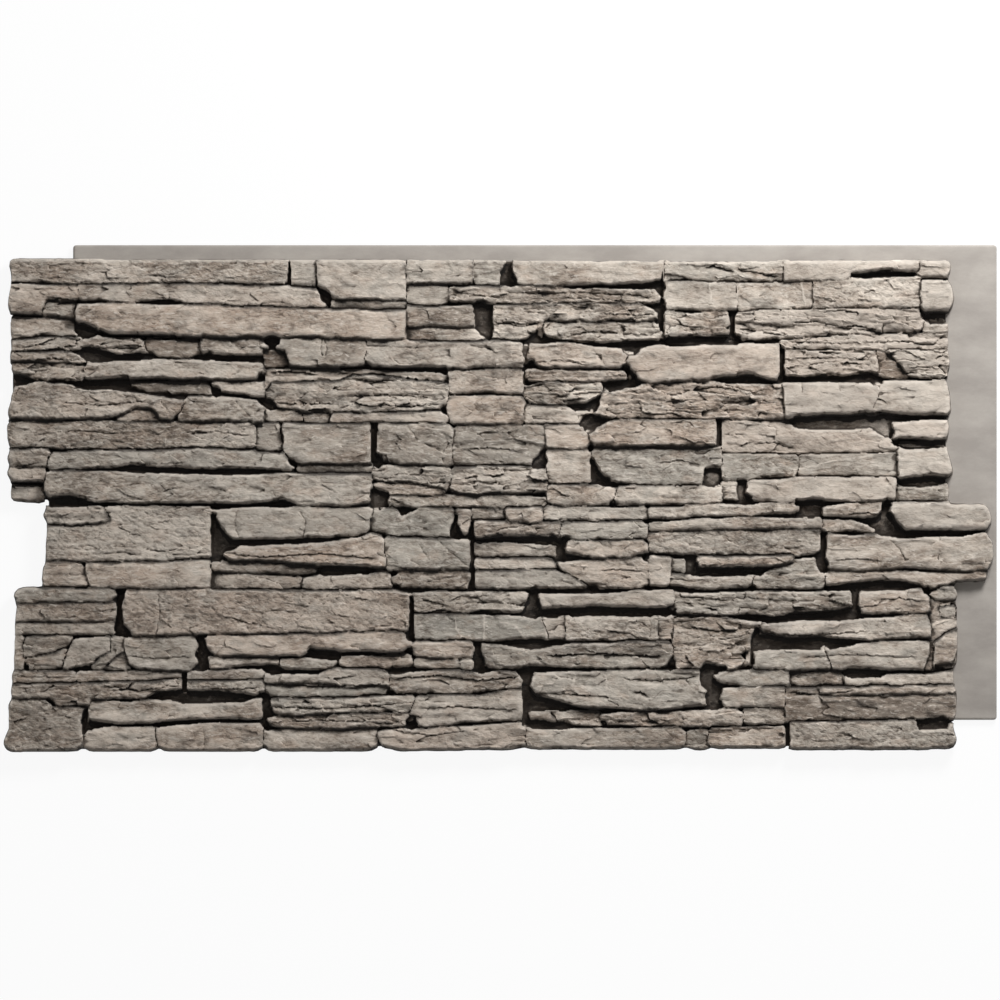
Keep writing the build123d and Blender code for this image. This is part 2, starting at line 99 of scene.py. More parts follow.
def noise(x, y, seed):
    """Gradient noise, about -1 to 1."""
    ix = np.floor(x)
    iy = np.floor(y)
    fx = x - ix
    fy = y - iy
    ux = fx * fx * fx * (fx * (fx * 6 - 15) + 10)
    uy = fy * fy * fy * (fy * (fy * 6 - 15) + 10)

    def corner(dx, dy):
        angle = hashed(ix + dx, iy + dy, seed) * math.pi
        return np.cos(angle) * (fx - dx) + np.sin(angle) * (fy - dy)

    low = corner(0, 0) * (1 - ux) + corner(1, 0) * ux
    high = corner(0, 1) * (1 - ux) + corner(1, 1) * ux
    return NOISE_GAIN * (low * (1 - uy) + high * uy)


def layered(x, y, seed, octaves=3, fall=0.5):
    """Noise of several sizes, each half the one before."""
    total = 0.0
    weight = 1.0
    for octave in range(octaves):
        total = total + weight * noise(x * 2**octave, y * 2**octave, seed + OCTAVE_SEEDS * octave)
        weight *= fall
    return total


def facets(x, y, seed, long, short, step, tilt):
    """Broken facets: each cell of about long by short lies at its own height and tilt."""
    u = x / long
    v = y / short
    iu = np.floor(u)
    iv = np.floor(v)
    nearest = np.full(u.shape, 9.0)
    value = np.zeros(u.shape)
    for du in (-1, 0, 1):
        for dv in (-1, 0, 1):
            cu = iu + du
            cv = iv + dv
            dx = u - (cu + 0.5 + CELL_SCATTER * hashed(cu, cv, seed + 1))
            dy = v - (cv + 0.5 + CELL_SCATTER * hashed(cu, cv, seed + 2))
            away = dx * dx + dy * dy
            plane = (
                step * hashed(cu, cv, seed + 3)
                + tilt * hashed(cu, cv, seed + 4) * dx * long * 0.5
                + tilt * hashed(cu, cv, seed + 5) * dy * short
            )
            closer = away < nearest
            nearest = np.where(closer, away, nearest)
            value = np.where(closer, plane, value)
    return value


def ramp(low, high, x):
    """Smooth step from 0 at low to 1 at high."""
    t = np.clip((x - low) / (high - low), 0, 1)
    return t * t * (3 - 2 * t)


def blurred(field, radius_mm):
    """Box blur, twice, over about radius_mm."""
    r = max(1, int(round(radius_mm / GRID_MM)))
    width = 2 * r + 1
    for _ in range(2):
        for axis in (0, 1):
            n = field.shape[axis]
            before = np.repeat(field.take([0], axis), r + 1, axis)
            after = np.repeat(field.take([-1], axis), r, axis)
            sums = np.cumsum(np.concatenate([before, field, after], axis), axis)
            field = (sums.take(range(width, width + n), axis) - sums.take(range(0, n), axis)) / width
    return field


# The CAD moulding's faces that look up, in millimetres
cad_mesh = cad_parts[NODE].data
cad_mesh.calc_loop_triangles()
points = np.zeros(len(cad_mesh.vertices) * 3)
cad_mesh.vertices.foreach_get("co", points)
points = points.reshape(-1, 3) / MM
corners = np.zeros(len(cad_mesh.loop_triangles) * 3, np.int64)
cad_mesh.loop_triangles.foreach_get("vertices", corners)
low_box = points.min(0)
high_box = points.max(0)
tri = points[corners.reshape(-1, 3)]
normal = np.cross(tri[:, 1] - tri[:, 0], tri[:, 2] - tri[:, 0])
area = np.linalg.norm(normal, axis=1) / 2
normal = normal / np.maximum(area * 2, TINY)[:, None]
UPWARD = 0.5
SLIVER_MM2 = 1e-4
upward = (normal[:, 2] > UPWARD) & (area > SLIVER_MM2)
tri = tri[upward]
normal = normal[upward]
area = area[upward]
middle = tri.mean(1)

# Stones: faces above the bed, joined where they share an edge and lie in one plane or bulge
ABOVE_BED_MM = 0.6
SAME_PLANE = 0.9998
BULGE_MM = 0.001
STONE_TOP = 0.75  # a face steeper than this is a stone's broken edge
SMALLEST_STONE_MM2 = 30.0
CRACK_MM = 0.05
SIDE_STEP_MM = 0.2
ROW_MM = 5  # stones whose middles share a row of this height count from left to right
on_stone = middle[:, 2] > BED_LEVEL_MM + ABOVE_BED_MM
stone_tri = tri[on_stone]
stone_middle = middle[on_stone]
stone_normal = normal[on_stone]
stone_area = area[on_stone]
face_keys = [[tuple(np.round(p, 1).tolist()) for p in face] for face in stone_tri]
parent = list(range(len(stone_tri)))


def root_of(i):
    """The face that stands for this face's group."""
    while parent[i] != i:
        parent[i] = parent[parent[i]]
        i = parent[i]
    return i


edge_owner = {}
for index, keys in enumerate(face_keys):
    for a, b in ((0, 1), (1, 2), (2, 0)):
        edge = tuple(sorted((keys[a], keys[b])))
        other = edge_owner.setdefault(edge, index)
        level = np.dot(stone_normal[index], stone_normal[other]) > SAME_PLANE
        bulges = np.dot(stone_middle[index] - stone_middle[other], stone_normal[index]) > BULGE_MM
        if other != index and (level or bulges):
            parent[root_of(index)] = root_of(other)

groups = {}
for index in range(len(stone_tri)):
    groups.setdefault(root_of(index), []).append(index)


def left_of(a, b, x, y):
    """How far points lie to the left of the line from a to b, times that line's length."""
    return (b[0] - a[0]) * (y - a[1]) - (b[1] - a[1]) * (x - a[0])


def held_by(faces, x, y):
    """Whether points lie in any of these faces."""
    inside = np.zeros(np.shape(x), bool)
    for face in faces:
        low = face.min(0) - CRACK_MM
        high = face.max(0) + CRACK_MM
        within = (x >= low[0]) & (x <= high[0]) & (y >= low[1]) & (y <= high[1])
        for a, b in zip(face, np.roll(face, -1, 0)):
            within &= left_of(a, b, x, y) >= -CRACK_MM * math.dist(a, b)
        inside |= within
    return inside


def rim_of(faces):
    """The edges round these faces, as pairs of x and y. Each is cut where other corners lie on it,
    and a piece that has faces on both sides is left out."""
    marks = np.unique(np.round(faces[:, :, :2].reshape(-1, 2), 2), axis=0)
    pieces = set()
    for face in faces[:, :, :2]:
        for start, end in zip(face, np.roll(face, -1, 0)):
            span = end - start
            length = np.linalg.norm(span)
            t = (marks - start) @ span / length**2
            away = np.linalg.norm(marks - start - t[:, None] * span, axis=1)
            on = (away < CRACK_MM) & (t * length > CRACK_MM) & ((1 - t) * length > CRACK_MM)
            stops = [start, *marks[on][np.argsort(t[on])], end]
            pieces.update((*a, *b) for a, b in zip(stops[:-1], stops[1:]))
    rim = np.array(sorted(pieces)).reshape(-1, 2, 2)
    side = np.stack([rim[:, 0, 1] - rim[:, 1, 1], rim[:, 1, 0] - rim[:, 0, 0]], 1)
    side = side / np.maximum(np.linalg.norm(side, axis=1), TINY)[:, None] * SIDE_STEP_MM
    left = rim.mean(1) + side
    right = rim.mean(1) - side
    return rim[~(held_by(faces, *left.T) & held_by(faces, *right.T))]


stones = []
for members in groups.values():
    size = stone_area[members].sum()
    if size < SMALLEST_STONE_MM2:
        continue
    tops = [i for i in members if stone_normal[i][2] > STONE_TOP]
    weights = stone_area[tops][:, None] / stone_area[tops].sum()
    up = (stone_normal[tops] * weights).sum(0)
    stones.append({
        "faces": stone_tri[members],
        "rim": rim_of(stone_tri[members]),
        "middle": (stone_middle[tops] * weights).sum(0),
        "tilt": -up[:2] / up[2],
    })
stones.sort(key=lambda s: (round(-s["middle"][1] / ROW_MM), s["middle"][0]))

# The grid, and where the moulding is thicker than its flange
xs = np.arange(low_box[0] - MARGIN_MM, high_box[0] + MARGIN_MM, GRID_MM)
ys = np.arange(low_box[1] - MARGIN_MM, high_box[1] + MARGIN_MM, GRID_MM)
X, Y = np.meshgrid(xs, ys)


def window_of(low, high):
    """The part of the grid between two corners."""
    i0, i1 = np.searchsorted(xs, (low[0], high[0]))
    j0, j1 = np.searchsorted(ys, (low[1], high[1]))
    return slice(j0, j1), slice(i0, i1)


BELOW_BED_MM = 2
ON_LINE_MM2 = 1e-6
ON_BED = 0.95
thick = np.zeros(X.shape, bool)
for face in tri[middle[:, 2] > BED_LEVEL_MM - BELOW_BED_MM]:
    window = window_of(face.min(0), face.max(0))
    within = np.ones(X[window].shape, bool)
    for p, q in zip(face, np.roll(face, -1, 0)):
        within &= left_of(p, q, X[window], Y[window]) >= -ON_LINE_MM2
    thick[window] |= within
body = blurred(thick.astype(float), GRID_MM)
on_bed = body > ON_BED


def inside_distance(stone, x, y):
    """Distance to the stone's rim, positive inside it."""
    away = np.full(np.shape(x), FAR)
    for a, b in stone["rim"]:
        ex, ey = b - a
        t = np.clip(((x - a[0]) * ex + (y - a[1]) * ey) / max(ex * ex + ey * ey, TINY), 0, 1)
        away = np.minimum(away, (x - a[0] - t * ex) ** 2 + (y - a[1] - t * ey) ** 2)
    return np.where(held_by(stone["faces"], x, y), 1, -1) * np.sqrt(away)


def on_panel(mark):
    """A point of the layout sheet as x and y on the panel."""
    return (
        low_box[0] + (mark[0] - SHEET_LEFT) * SHEET_SCALE_MM,
        high_box[1] - TOP_FLANGE_MM - (mark[1] - SHEET_TOP) * SHEET_SCALE_MM,
    )


def stone_at(mark):
    """The stone that a mark lies on, or else the nearest."""
    depths = [float(inside_distance(stone, *on_panel(mark))) for stone in stones]
    return stones[int(np.argmax(depths))]


# Stones whose faces have a character of their own, each by a mark on it
LAYERED = (
    (356, 396), (560, 295), (590, 312), (600, 332), (700, 326), (830, 321), (860, 343), (560, 375),
    (835, 363), (925, 364), (690, 400), (70, 346), (45, 358), (40, 372), (720, 645), (760, 604), (340, 706),
    (340, 721), (40, 690), (420, 473), (500, 480), (560, 394), (455, 603), (500, 527), (60, 515),
    (650, 719), (745, 563),
)
ROUGH = (
    (266, 612), (612, 629), (44, 728), (130, 540), (870, 737), (90, 271), (860, 295), (130, 435), (60, 612),
    (690, 542), (220, 686), (60, 401),
)
SMOOTH = (
    (703, 364), (120, 742), (205, 741), (850, 272), (590, 272), (830, 400), (915, 398), (935, 296),
    (922, 463), (920, 430), (940, 517), (900, 552), (160, 654), (300, 643), (480, 628), (330, 690),
    (430, 554), (430, 524), (362, 281), (301, 273), (320, 352), (485, 410), (760, 467), (850, 466),
    (820, 490), (568, 438), (570, 467), (750, 697), (750, 680), (610, 600), (790, 660), (880, 656),
    (310, 743), (170, 711), (300, 519), (300, 553), (700, 367), (240, 323), (325, 444), (700, 297),
    (775, 297), (440, 295), (440, 317), (148, 575), (602, 739),
)
# Depths in millimetres: bends, breaks, layers, chips, lumps, cracks. Grit is how rough the paint is.
PLAIN = (2.0, 0.75, 1.0, 0.3, 0.3, 0.0)
PLAIN_GRIT = 0.45
CHARACTERS = (
    (LAYERED, (2.0, 1.5, 2.0, 0.7, 0.5, 0.8), 0.65),
    (ROUGH, (1.6, 0.7, 0.7, 0.4, 0.85, 0.0), 0.8),
    (SMOOTH, (1.5, 0.5, 0.3, 0.12, 0.15, 0.0), 0.1),
)

# Marks on single stones, on the layout sheet
CRACKS = (
    ((322, 340), (321, 348), (322, 356)), ((325, 341), (327, 349), (325, 357)), ((801, 383), (802, 392)),
    ((838, 384), (841, 391)), ((592, 350), (598, 355), (605, 364)),
    ((407, 425), (413, 434), (417, 440), (430, 446)), ((440, 432), (446, 437), (448, 444), (444, 451)),
    ((420, 545), (424, 553), (430, 560)), ((438, 540), (450, 552), (470, 568)),
    ((650, 620), (651, 628), (650, 637)), ((455, 604), (490, 602), (525, 606)),
    ((685, 331), (710, 329), (713, 340)), ((13, 385), (22, 390), (30, 393)),
    ((155, 728), (156, 740), (155, 751)), ((203, 728), (205, 740), (203, 751)),
    ((158, 595), (160, 612), (157, 631)), ((890, 540), (899, 548), (905, 560)),
    ((940, 551), (938, 558), (941, 565)), ((238, 510), (234, 520), (238, 536)),
    ((300, 512), (306, 522), (303, 536)), ((660, 278), (688, 280)), ((10, 352), (60, 349), (110, 353)),
    ((30, 362), (70, 358), (100, 364)), ((15, 394), (19, 388)), ((58, 304), (66, 302), (76, 303)),
    ((150, 405), (160, 401), (168, 410)), ((236, 402), (246, 412), (252, 420)), ((470, 346), (500, 350)),
    ((365, 345), (410, 348), (440, 346)),
)
VEINS = (
    ((455, 618), (456, 628), (463, 639)), ((484, 618), (484, 640)), ((500, 622), (516, 626), (526, 640)),
    ((541, 618), (546, 630), (548, 641)), ((322, 684), (317, 696)), ((534, 688), (560, 682), (590, 688)),
    ((575, 675), (572, 688)), ((605, 674), (607, 690)), ((647, 690), (660, 684), (664, 675)),
    ((205, 510), (236, 514)), ((738, 283), (737, 305)), ((710, 283), (711, 302)), ((801, 283), (806, 305)),
    ((780, 465), (795, 470), (792, 480)), ((795, 470), (840, 460), (895, 452)),
)
# Broken layers: depth in millimetres, how far down the break fades out, and the line it starts at
LEDGES = (
    (4.5, 6, ((703, 268), (712, 265), (728, 269), (735, 272))),
    (3.0, 5, ((734, 269), (750, 271), (766, 274), (781, 277))), (2.5, 3, ((666, 279), (688, 281))),
    (2.5, 4, ((503, 291), (540, 293), (580, 292), (640, 295), (655, 300))),
    (2.0, 4, ((560, 297), (600, 299), (650, 302))), (3.0, 5, ((790, 322), (815, 321), (842, 326))),
    (3.5, 6, ((840, 327), (856, 325), (880, 330))), (3.5, 6, ((738, 328), (760, 331), (786, 335))),
    (2.0, 3, ((785, 341), (840, 343), (900, 341), (945, 344))),
    (4.0, 5, ((838, 364), (850, 362), (864, 365))), (2.5, 4, ((790, 358), (830, 357), (870, 359))),
    (3.5, 5, ((934, 357), (943, 355), (951, 359))), (2.5, 4, ((905, 368), (920, 366), (945, 369))),
    (3.0, 5, ((695, 389), (715, 386), (745, 391))), (2.5, 4, ((720, 403), (750, 400), (780, 402))),
    (2.0, 4, ((640, 398), (670, 401), (700, 399))), (2.0, 4, ((660, 410), (700, 412), (740, 409))),
    (2.5, 3, ((722, 433), (748, 434))), (2.0, 3, ((722, 442), (742, 445))),
    (2.5, 4, ((752, 444), (775, 442), (797, 449))), (2.5, 4, ((655, 463), (680, 460), (703, 465))),
    (2.0, 4, ((600, 448), (640, 446), (700, 448))), (3.5, 4, ((45, 300), (60, 298), (77, 301))),
    (2.0, 3, ((190, 333), (208, 330), (226, 333))),
    (3.0, 5, ((10, 351), (45, 350), (70, 345), (105, 348), (138, 347))),
    (2.5, 4, ((20, 362), (50, 358), (85, 361))), (3.5, 8, ((268, 372), (290, 371), (320, 374))),
    (3.0, 6, ((330, 383), (350, 378), (372, 381), (400, 379))),
    (3.0, 5, ((272, 402), (300, 404), (335, 403))), (2.5, 4, ((345, 396), (390, 394), (440, 398))),
    (2.5, 4, ((375, 404), (410, 406), (444, 403))), (2.0, 4, ((33, 434), (80, 430), (130, 434))),
    (2.0, 4, ((180, 433), (215, 431), (250, 435))), (2.0, 3, ((13, 467), (43, 468))),
    (2.0, 4, ((118, 462), (150, 464), (188, 462))), (2.5, 4, ((60, 402), (100, 405), (150, 400))),
    (2.0, 4, ((45, 523), (75, 525), (104, 522))), (2.0, 4, ((140, 548), (165, 551), (195, 548))),
    (2.0, 4, ((100, 553), (120, 552), (142, 555))),
    (3.0, 6, ((217, 551), (260, 557), (320, 553), (378, 558))),
    (2.5, 3, ((598, 571), (620, 569), (645, 571))), (2.0, 4, ((540, 520), (580, 518), (640, 522))),
    (3.0, 4, ((674, 615), (700, 613), (728, 616))), (2.0, 5, ((690, 600), (740, 597), (800, 601))),
    (4.0, 10, ((543, 655), (600, 653), (664, 656))), (5.0, 5, ((631, 693), (640, 691), (650, 697))),
    (2.5, 6, ((530, 692), (570, 694), (615, 697))), (2.5, 5, ((620, 678), (660, 680), (700, 676))),
    (3.0, 6, ((787, 692), (820, 694), (856, 690))), (2.5, 4, ((843, 531), (873, 532))),
    (2.0, 5, ((830, 560), (860, 558), (885, 562))), (3.0, 5, ((845, 514), (868, 512), (888, 517))),
    (2.0, 3, ((12, 676), (72, 677))), (3.0, 6, ((38, 700), (48, 703), (60, 714))),
    (3.0, 6, ((100, 685), (140, 690), (185, 684))), (2.5, 5, ((195, 686), (230, 689), (262, 687))),
    (3.0, 7, ((268, 683), (320, 686), (385, 684))), (2.5, 4, ((268, 706), (330, 708), (400, 703))),
    (2.5, 5, ((270, 722), (330, 720), (400, 723))), (2.5, 6, ((385, 728), (430, 735), (470, 730))),
    (3.5, 9, ((392, 678), (440, 675), (480, 680), (522, 676))),
    (2.5, 5, ((415, 708), (460, 706), (520, 710))), (2.0, 5, ((690, 726), (720, 730), (780, 727))),
    (2.0, 5, ((560, 718), (610, 722), (680, 719))), (2.5, 5, ((482, 468), (520, 470), (545, 467))),
    (2.5, 5, ((380, 482), (420, 484), (450, 481))), (2.5, 5, ((600, 313), (640, 315), (656, 312))),
    (3.0, 6, ((497, 320), (520, 326), (540, 322))), (2.5, 6, ((570, 334), (600, 331), (650, 335))),
    (2.5, 5, ((460, 450), (490, 447), (520, 451))), (2.0, 4, ((530, 362), (560, 360), (590, 363))),
    (2.5, 5, ((528, 392), (560, 395), (600, 391))), (2.0, 5, ((120, 655), (160, 658), (195, 656))),
    (2.5, 5, ((870, 600), (900, 598), (925, 601))), (2.5, 5, ((750, 632), (800, 635), (870, 631))),
    (2.0, 4, ((800, 657), (850, 654), (920, 657))),
)
# Black holes between stones, as boxes
HOLES = (
    (475, 306, 492, 335), (85, 352, 140, 360), (83, 380, 128, 390), (580, 415, 600, 428),
    (371, 424, 376, 462), (533, 450, 545, 468), (590, 460, 600, 484), (705, 469, 720, 479),
    (717, 420, 721, 445), (371, 490, 388, 506), (738, 481, 744, 498), (211, 515, 220, 562),
    (450, 515, 460, 536), (469, 522, 474, 588), (796, 500, 822, 516), (820, 533, 826, 572),
    (878, 505, 892, 528), (686, 556, 694, 574), (117, 590, 125, 634), (409, 597, 413, 640),
    (527, 592, 537, 612), (473, 645, 481, 670), (852, 592, 858, 618), (752, 628, 758, 664),
    (199, 636, 206, 668), (182, 675, 186, 692), (80, 710, 86, 734), (263, 694, 268, 726),
    (523, 670, 530, 722), (530, 701, 555, 710), (711, 674, 718, 704), (786, 725, 790, 750),
    (918, 721, 948, 726), (320, 290, 330, 300), (285, 262, 290, 284), (720, 640, 726, 668),
    (500, 256, 512, 284), (729, 312, 735, 338), (780, 344, 784, 380), (656, 262, 662, 330),
    (795, 418, 870, 428), (100, 330, 175, 336), (215, 356, 330, 362), (340, 366, 446, 374),
    (920, 425, 950, 430),
)
# Stones of a colour of their own: a mark, how cool and how pale they are
TINTS = (
    ((480, 628), 1.0, -0.15), ((326, 690), 0.9, -0.2), ((410, 524), 0.9, -0.1), ((430, 554), 0.8, 0.1),
    ((820, 708), -0.4, -0.9), ((457, 684), -0.2, -0.5), ((703, 362), -0.5, 0.9), ((850, 272), 0.2, 0.8),
    ((860, 295), 0.0, 0.3), ((935, 290), 0.5, 0.8), ((775, 297), 0.2, -0.1), ((700, 297), 0.3, 0.4),
    ((830, 400), 0.4, 0.9), ((915, 398), 0.3, 0.7), ((922, 463), 0.4, 0.6), ((935, 517), 0.5, 0.6),
    ((720, 468), 0.8, -0.1), ((760, 467), 0.8, -0.1), ((893, 366), -0.8, -0.9), ((165, 345), -0.6, -0.7),
    ((276, 360), -0.8, -1.0), ((180, 383), -0.2, -0.9), ((940, 660), -0.5, 0.3), ((800, 640), -0.3, 0.4),
    ((890, 640), 0.0, 0.4), ((590, 368), -0.6, 0.3), ((640, 370), -0.8, 0.5), ((90, 271), -0.3, -0.3),
    ((130, 435), 0.0, -0.3), ((60, 270), -0.2, -0.2), ((170, 680), -0.4, -0.4), ((300, 570), 0.2, -0.6),
    ((500, 536), -0.4, -0.6), ((340, 270), 0.2, 0.3), ((600, 630), 0.2, -0.1), ((700, 540), 0.3, -0.4),
    ((870, 740), 0.4, 0.2), ((120, 742), -0.3, 0.1), ((240, 742), -0.5, 0.1), ((400, 404), 0.0, 0.2),
)
for stone in stones:
    stone["depths"] = PLAIN
    stone["grit"] = PLAIN_GRIT
for marks, depths, grit in CHARACTERS:
    for mark in marks:
        stone_at(mark).update(depths=depths, grit=grit)

# How deep each point of the grid lies inside its stone, and inside the next stone
REACH_MM = 12.0
NOWHERE_MM = -99.0
first = np.full(X.shape, NOWHERE_MM)
second = np.full(X.shape, NOWHERE_MM)
owner = np.full(X.shape, -1)
runner_up = np.full(X.shape, -1)
wave_x = 1.0 * layered(X / 16, Y / 11, 41, 2) + 0.4 * noise(X / 4, Y / 4, 43)
wave_y = 1.1 * layered(X / 34, Y / 14, 47, 3) + 0.4 * noise(X / 6, Y / 5, 49)
for number, stone in enumerate(stones):
    ends = stone["rim"].reshape(-1, 2)
    window = window_of(ends.min(0) - REACH_MM, ends.max(0) + REACH_MM)
    depth = inside_distance(stone, X[window] + wave_x[window], Y[window] + wave_y[window])
    stone["window"] = window
    stone["depth"] = depth
    stone["height"] = np.ptp(ends[:, 1])
    leads = depth > first[window]
    follows = ~leads & (depth > second[window])
    runner_up[window] = np.where(leads, owner[window], np.where(follows, number, runner_up[window]))
    second[window] = np.where(leads, first[window], np.maximum(second[window], depth))
    owner[window] = np.where(leads, number, owner[window])
    first[window] = np.maximum(first[window], depth)

# How far a point lies from both stones of a joint, whether that joint is upright, and the black holes
JOINT_BLUR_MM = 3.0
HOLE_OUTER_MM = -2.5
HOLE_INNER_MM = 0.5
gap = np.maximum(-(first + second), 0)
slope_y, slope_x = (blurred(np.abs(part), JOINT_BLUR_MM) for part in np.gradient(first - second))
upright = ramp(0.45, 0.75, slope_x / (slope_x + slope_y + 1e-6))
hole = np.zeros(X.shape)
for x0, y0, x1, y1 in HOLES:
    (low_x, high_y), (high_x, low_y) = on_panel((x0, y0)), on_panel((x1, y1))
    within = np.minimum.reduce([X - low_x, high_x - X, Y - low_y, high_y - Y])
    hole = np.maximum(hole, ramp(HOLE_OUTER_MM, HOLE_INNER_MM, within))

# Bed: bare foam, filled between close stones up to a little below the lower one
tilts = np.array([stone["tilt"] for stone in stones] + [(0.0, 0.0)])
middles = np.array([stone["middle"] for stone in stones] + [(0.0, 0.0, NOWHERE_MM)])


def plane_of(which, x, y):
    """Height of the numbered stones' plain faces."""
    along = tilts[which, 0] * (x - middles[which, 0])
    across = tilts[which, 1] * (y - middles[which, 1])
    return middles[which, 2] + along + across


BED_DROP_MM = 2.5
FILL_DROP_MM = 0.7
FILL_REACH_MM = 20.0
FILL_SLOPE = 0.8
FILL_UPRIGHT = 0.45
FILL_WAVES_MM = 1.0
BED_EDGE_MM = 24
BED_WAVES_MM = 0.8
HOLE_DEPTH_MM = 14
relief = np.clip(LAP_LEVEL_MM + (body - 0.5) * BED_EDGE_MM, OUTSIDE_MM, BED_LEVEL_MM - BED_DROP_MM)
relief = relief + np.where(on_bed, BED_WAVES_MM * layered(X / 9, Y / 6, 5), 0)
lower = np.minimum(plane_of(owner, X, Y), plane_of(runner_up, X, Y))
fill = lower - FILL_DROP_MM - (FILL_SLOPE - FILL_UPRIGHT * upright) * gap
fill = fill - FILL_WAVES_MM * layered(X / 25, Y / 25, 61, 2) - HOLE_DEPTH_MM * hole
relief = np.maximum(relief, np.where(on_bed & (gap < FILL_REACH_MM), fill, OUTSIDE_MM))


def above_edge(depth):
    """How far each point of a stone lies above its lower edge, along the column."""
    run = np.zeros(depth.shape)
    carried = np.zeros(depth.shape[1])
    for row in range(depth.shape[0]):
        higher = np.where(carried > 0, carried + GRID_MM, np.minimum(depth[row], GRID_MM))
        carried = np.where(depth[row] > 0, higher, 0)
        run[row] = carried
    return run


def layers_across(u, v, seed, period, depth):
    """Layers that run along the stone, each broken back to its own depth."""
    q = v / period + 0.75 * noise(u / 45, v / 30, seed) + 0.3 * layered(u / 15, v / 9, seed + 1, 2)
    layer = np.floor(q)
    part = q - layer
    none = np.zeros(layer.shape)
    t = ramp(0.86, 1.0, part)
    value = hashed(layer, none, seed + 2) * (1 - t) + hashed(layer + 1, none, seed + 2) * t
    fade = np.clip(0.55 + 0.9 * noise(u / 45, q * 0.7, seed + 3), 0, 1)
    return depth * fade * (value + 0.35 * (part - 0.5))


# How far each stone's foot grows past its own rim
GROWTH_MM = 2.2
LAP_GROWTH_MM = 0.9
JOINT_GROWTH_MM = 4.6
UPRIGHT_GROWTH_MM = 2.0
JOINT_WAVES_MM = 1.6
HOLE_GROWTH_MM = 1.6
WIDE_GAP_MM = 17
CLOSE_GAP_MM = 11
RIM_BLUR_MM = 4.0
RIM_INSIDE = 0.75
RIM_SPAN_MM = 8.75
near_rim = blurred(thick.astype(float), RIM_BLUR_MM)
past_rim = np.where(near_rim < RIM_INSIDE, (near_rim - 0.5) * RIM_SPAN_MM + LAP_GROWTH_MM, REACH_MM)
growth = np.full(X.shape, GROWTH_MM)
joint = JOINT_GROWTH_MM + UPRIGHT_GROWTH_MM * upright + JOINT_WAVES_MM * noise(X / 50, Y / 16, 71)
growth = growth + (joint - growth) * ramp(WIDE_GAP_MM, CLOSE_GAP_MM, gap)
growth = growth + (np.minimum(growth, HOLE_GROWTH_MM) - growth) * hole


def path_distance(path, x, y):
    """Distance to a path of marks on the layout sheet."""
    away = np.full(x.shape, FAR)
    stops = [on_panel(mark) for mark in path]
    for (ax, ay), (bx, by) in zip(stops[:-1], stops[1:]):
        ahead = (x - ax) * (bx - ax) + (y - ay) * (by - ay)
        t = np.clip(ahead / ((bx - ax) ** 2 + (by - ay) ** 2), 0, 1)
        away = np.minimum(away, np.hypot(x - ax - t * (bx - ax), y - ay - t * (by - ay)))
    return away


# What the marks cut from the faces
CRACK_HALF_MM = 1.9
CRACK_DEPTH_MM = 1.7
VEIN_HALF_MM = 1.6
VEIN_HEIGHT_MM = 0.9
LEDGE_END_MM = 9.0
MARK_MARGIN_MM = 5
cut = np.zeros(X.shape)
bent_x = X + 1.2 * layered(X / 7, Y / 7, 81, 2)
bent_y = Y + 1.2 * layered(X / 7, Y / 7, 83, 2)
LINES = (
    (CRACKS, CRACK_HALF_MM, CRACK_DEPTH_MM),
    (VEINS, VEIN_HALF_MM, -VEIN_HEIGHT_MM),
)
for paths, half, amount in LINES:
    for path in paths:
        ends = np.array([on_panel(mark) for mark in path])
        window = window_of(ends.min(0) - MARK_MARGIN_MM, ends.max(0) + MARK_MARGIN_MM)
        away = path_distance(path, bent_x[window], bent_y[window])
        cut[window] += amount * np.clip(1 - away / half, 0, 1)
for amount, reach, path in LEDGES:
    stops = np.array([on_panel(mark) for mark in path])
    reach = reach * SHEET_SCALE_MM
    window = window_of(stops.min(0) - (0, reach + MARK_MARGIN_MM), stops.max(0) + (0, MARK_MARGIN_MM))
    below = np.interp(X[window], stops[:, 0], stops[:, 1]) - bent_y[window]
    ends = np.minimum(X[window] - stops[0, 0], stops[-1, 0] - X[window]) / LEDGE_END_MM
    fading = np.where(below > 0, np.clip(1 - below / reach, 0, 1), 0)
    cut[window] += amount * np.clip(ends, 0, 1) * fading


# Stone faces
WALL_SLOPE = 9.0
UNDER_SLOPE = 1.15  # the broken lower edge
UNDER_MM = 3.2
FULL_STONE_MM = 18.0  # lower stones get shallower bends and breaks
LOWEST_STONE_MM = 5.0
EDGE_SHARE = 0.35  # of a stone's height, the most that a rounded or broken edge takes
ROUNDING_MM = 0.8
NICK_MM = 1.2
FOOT_MM = 1.5  # a stone's own paint reaches this far down its wall


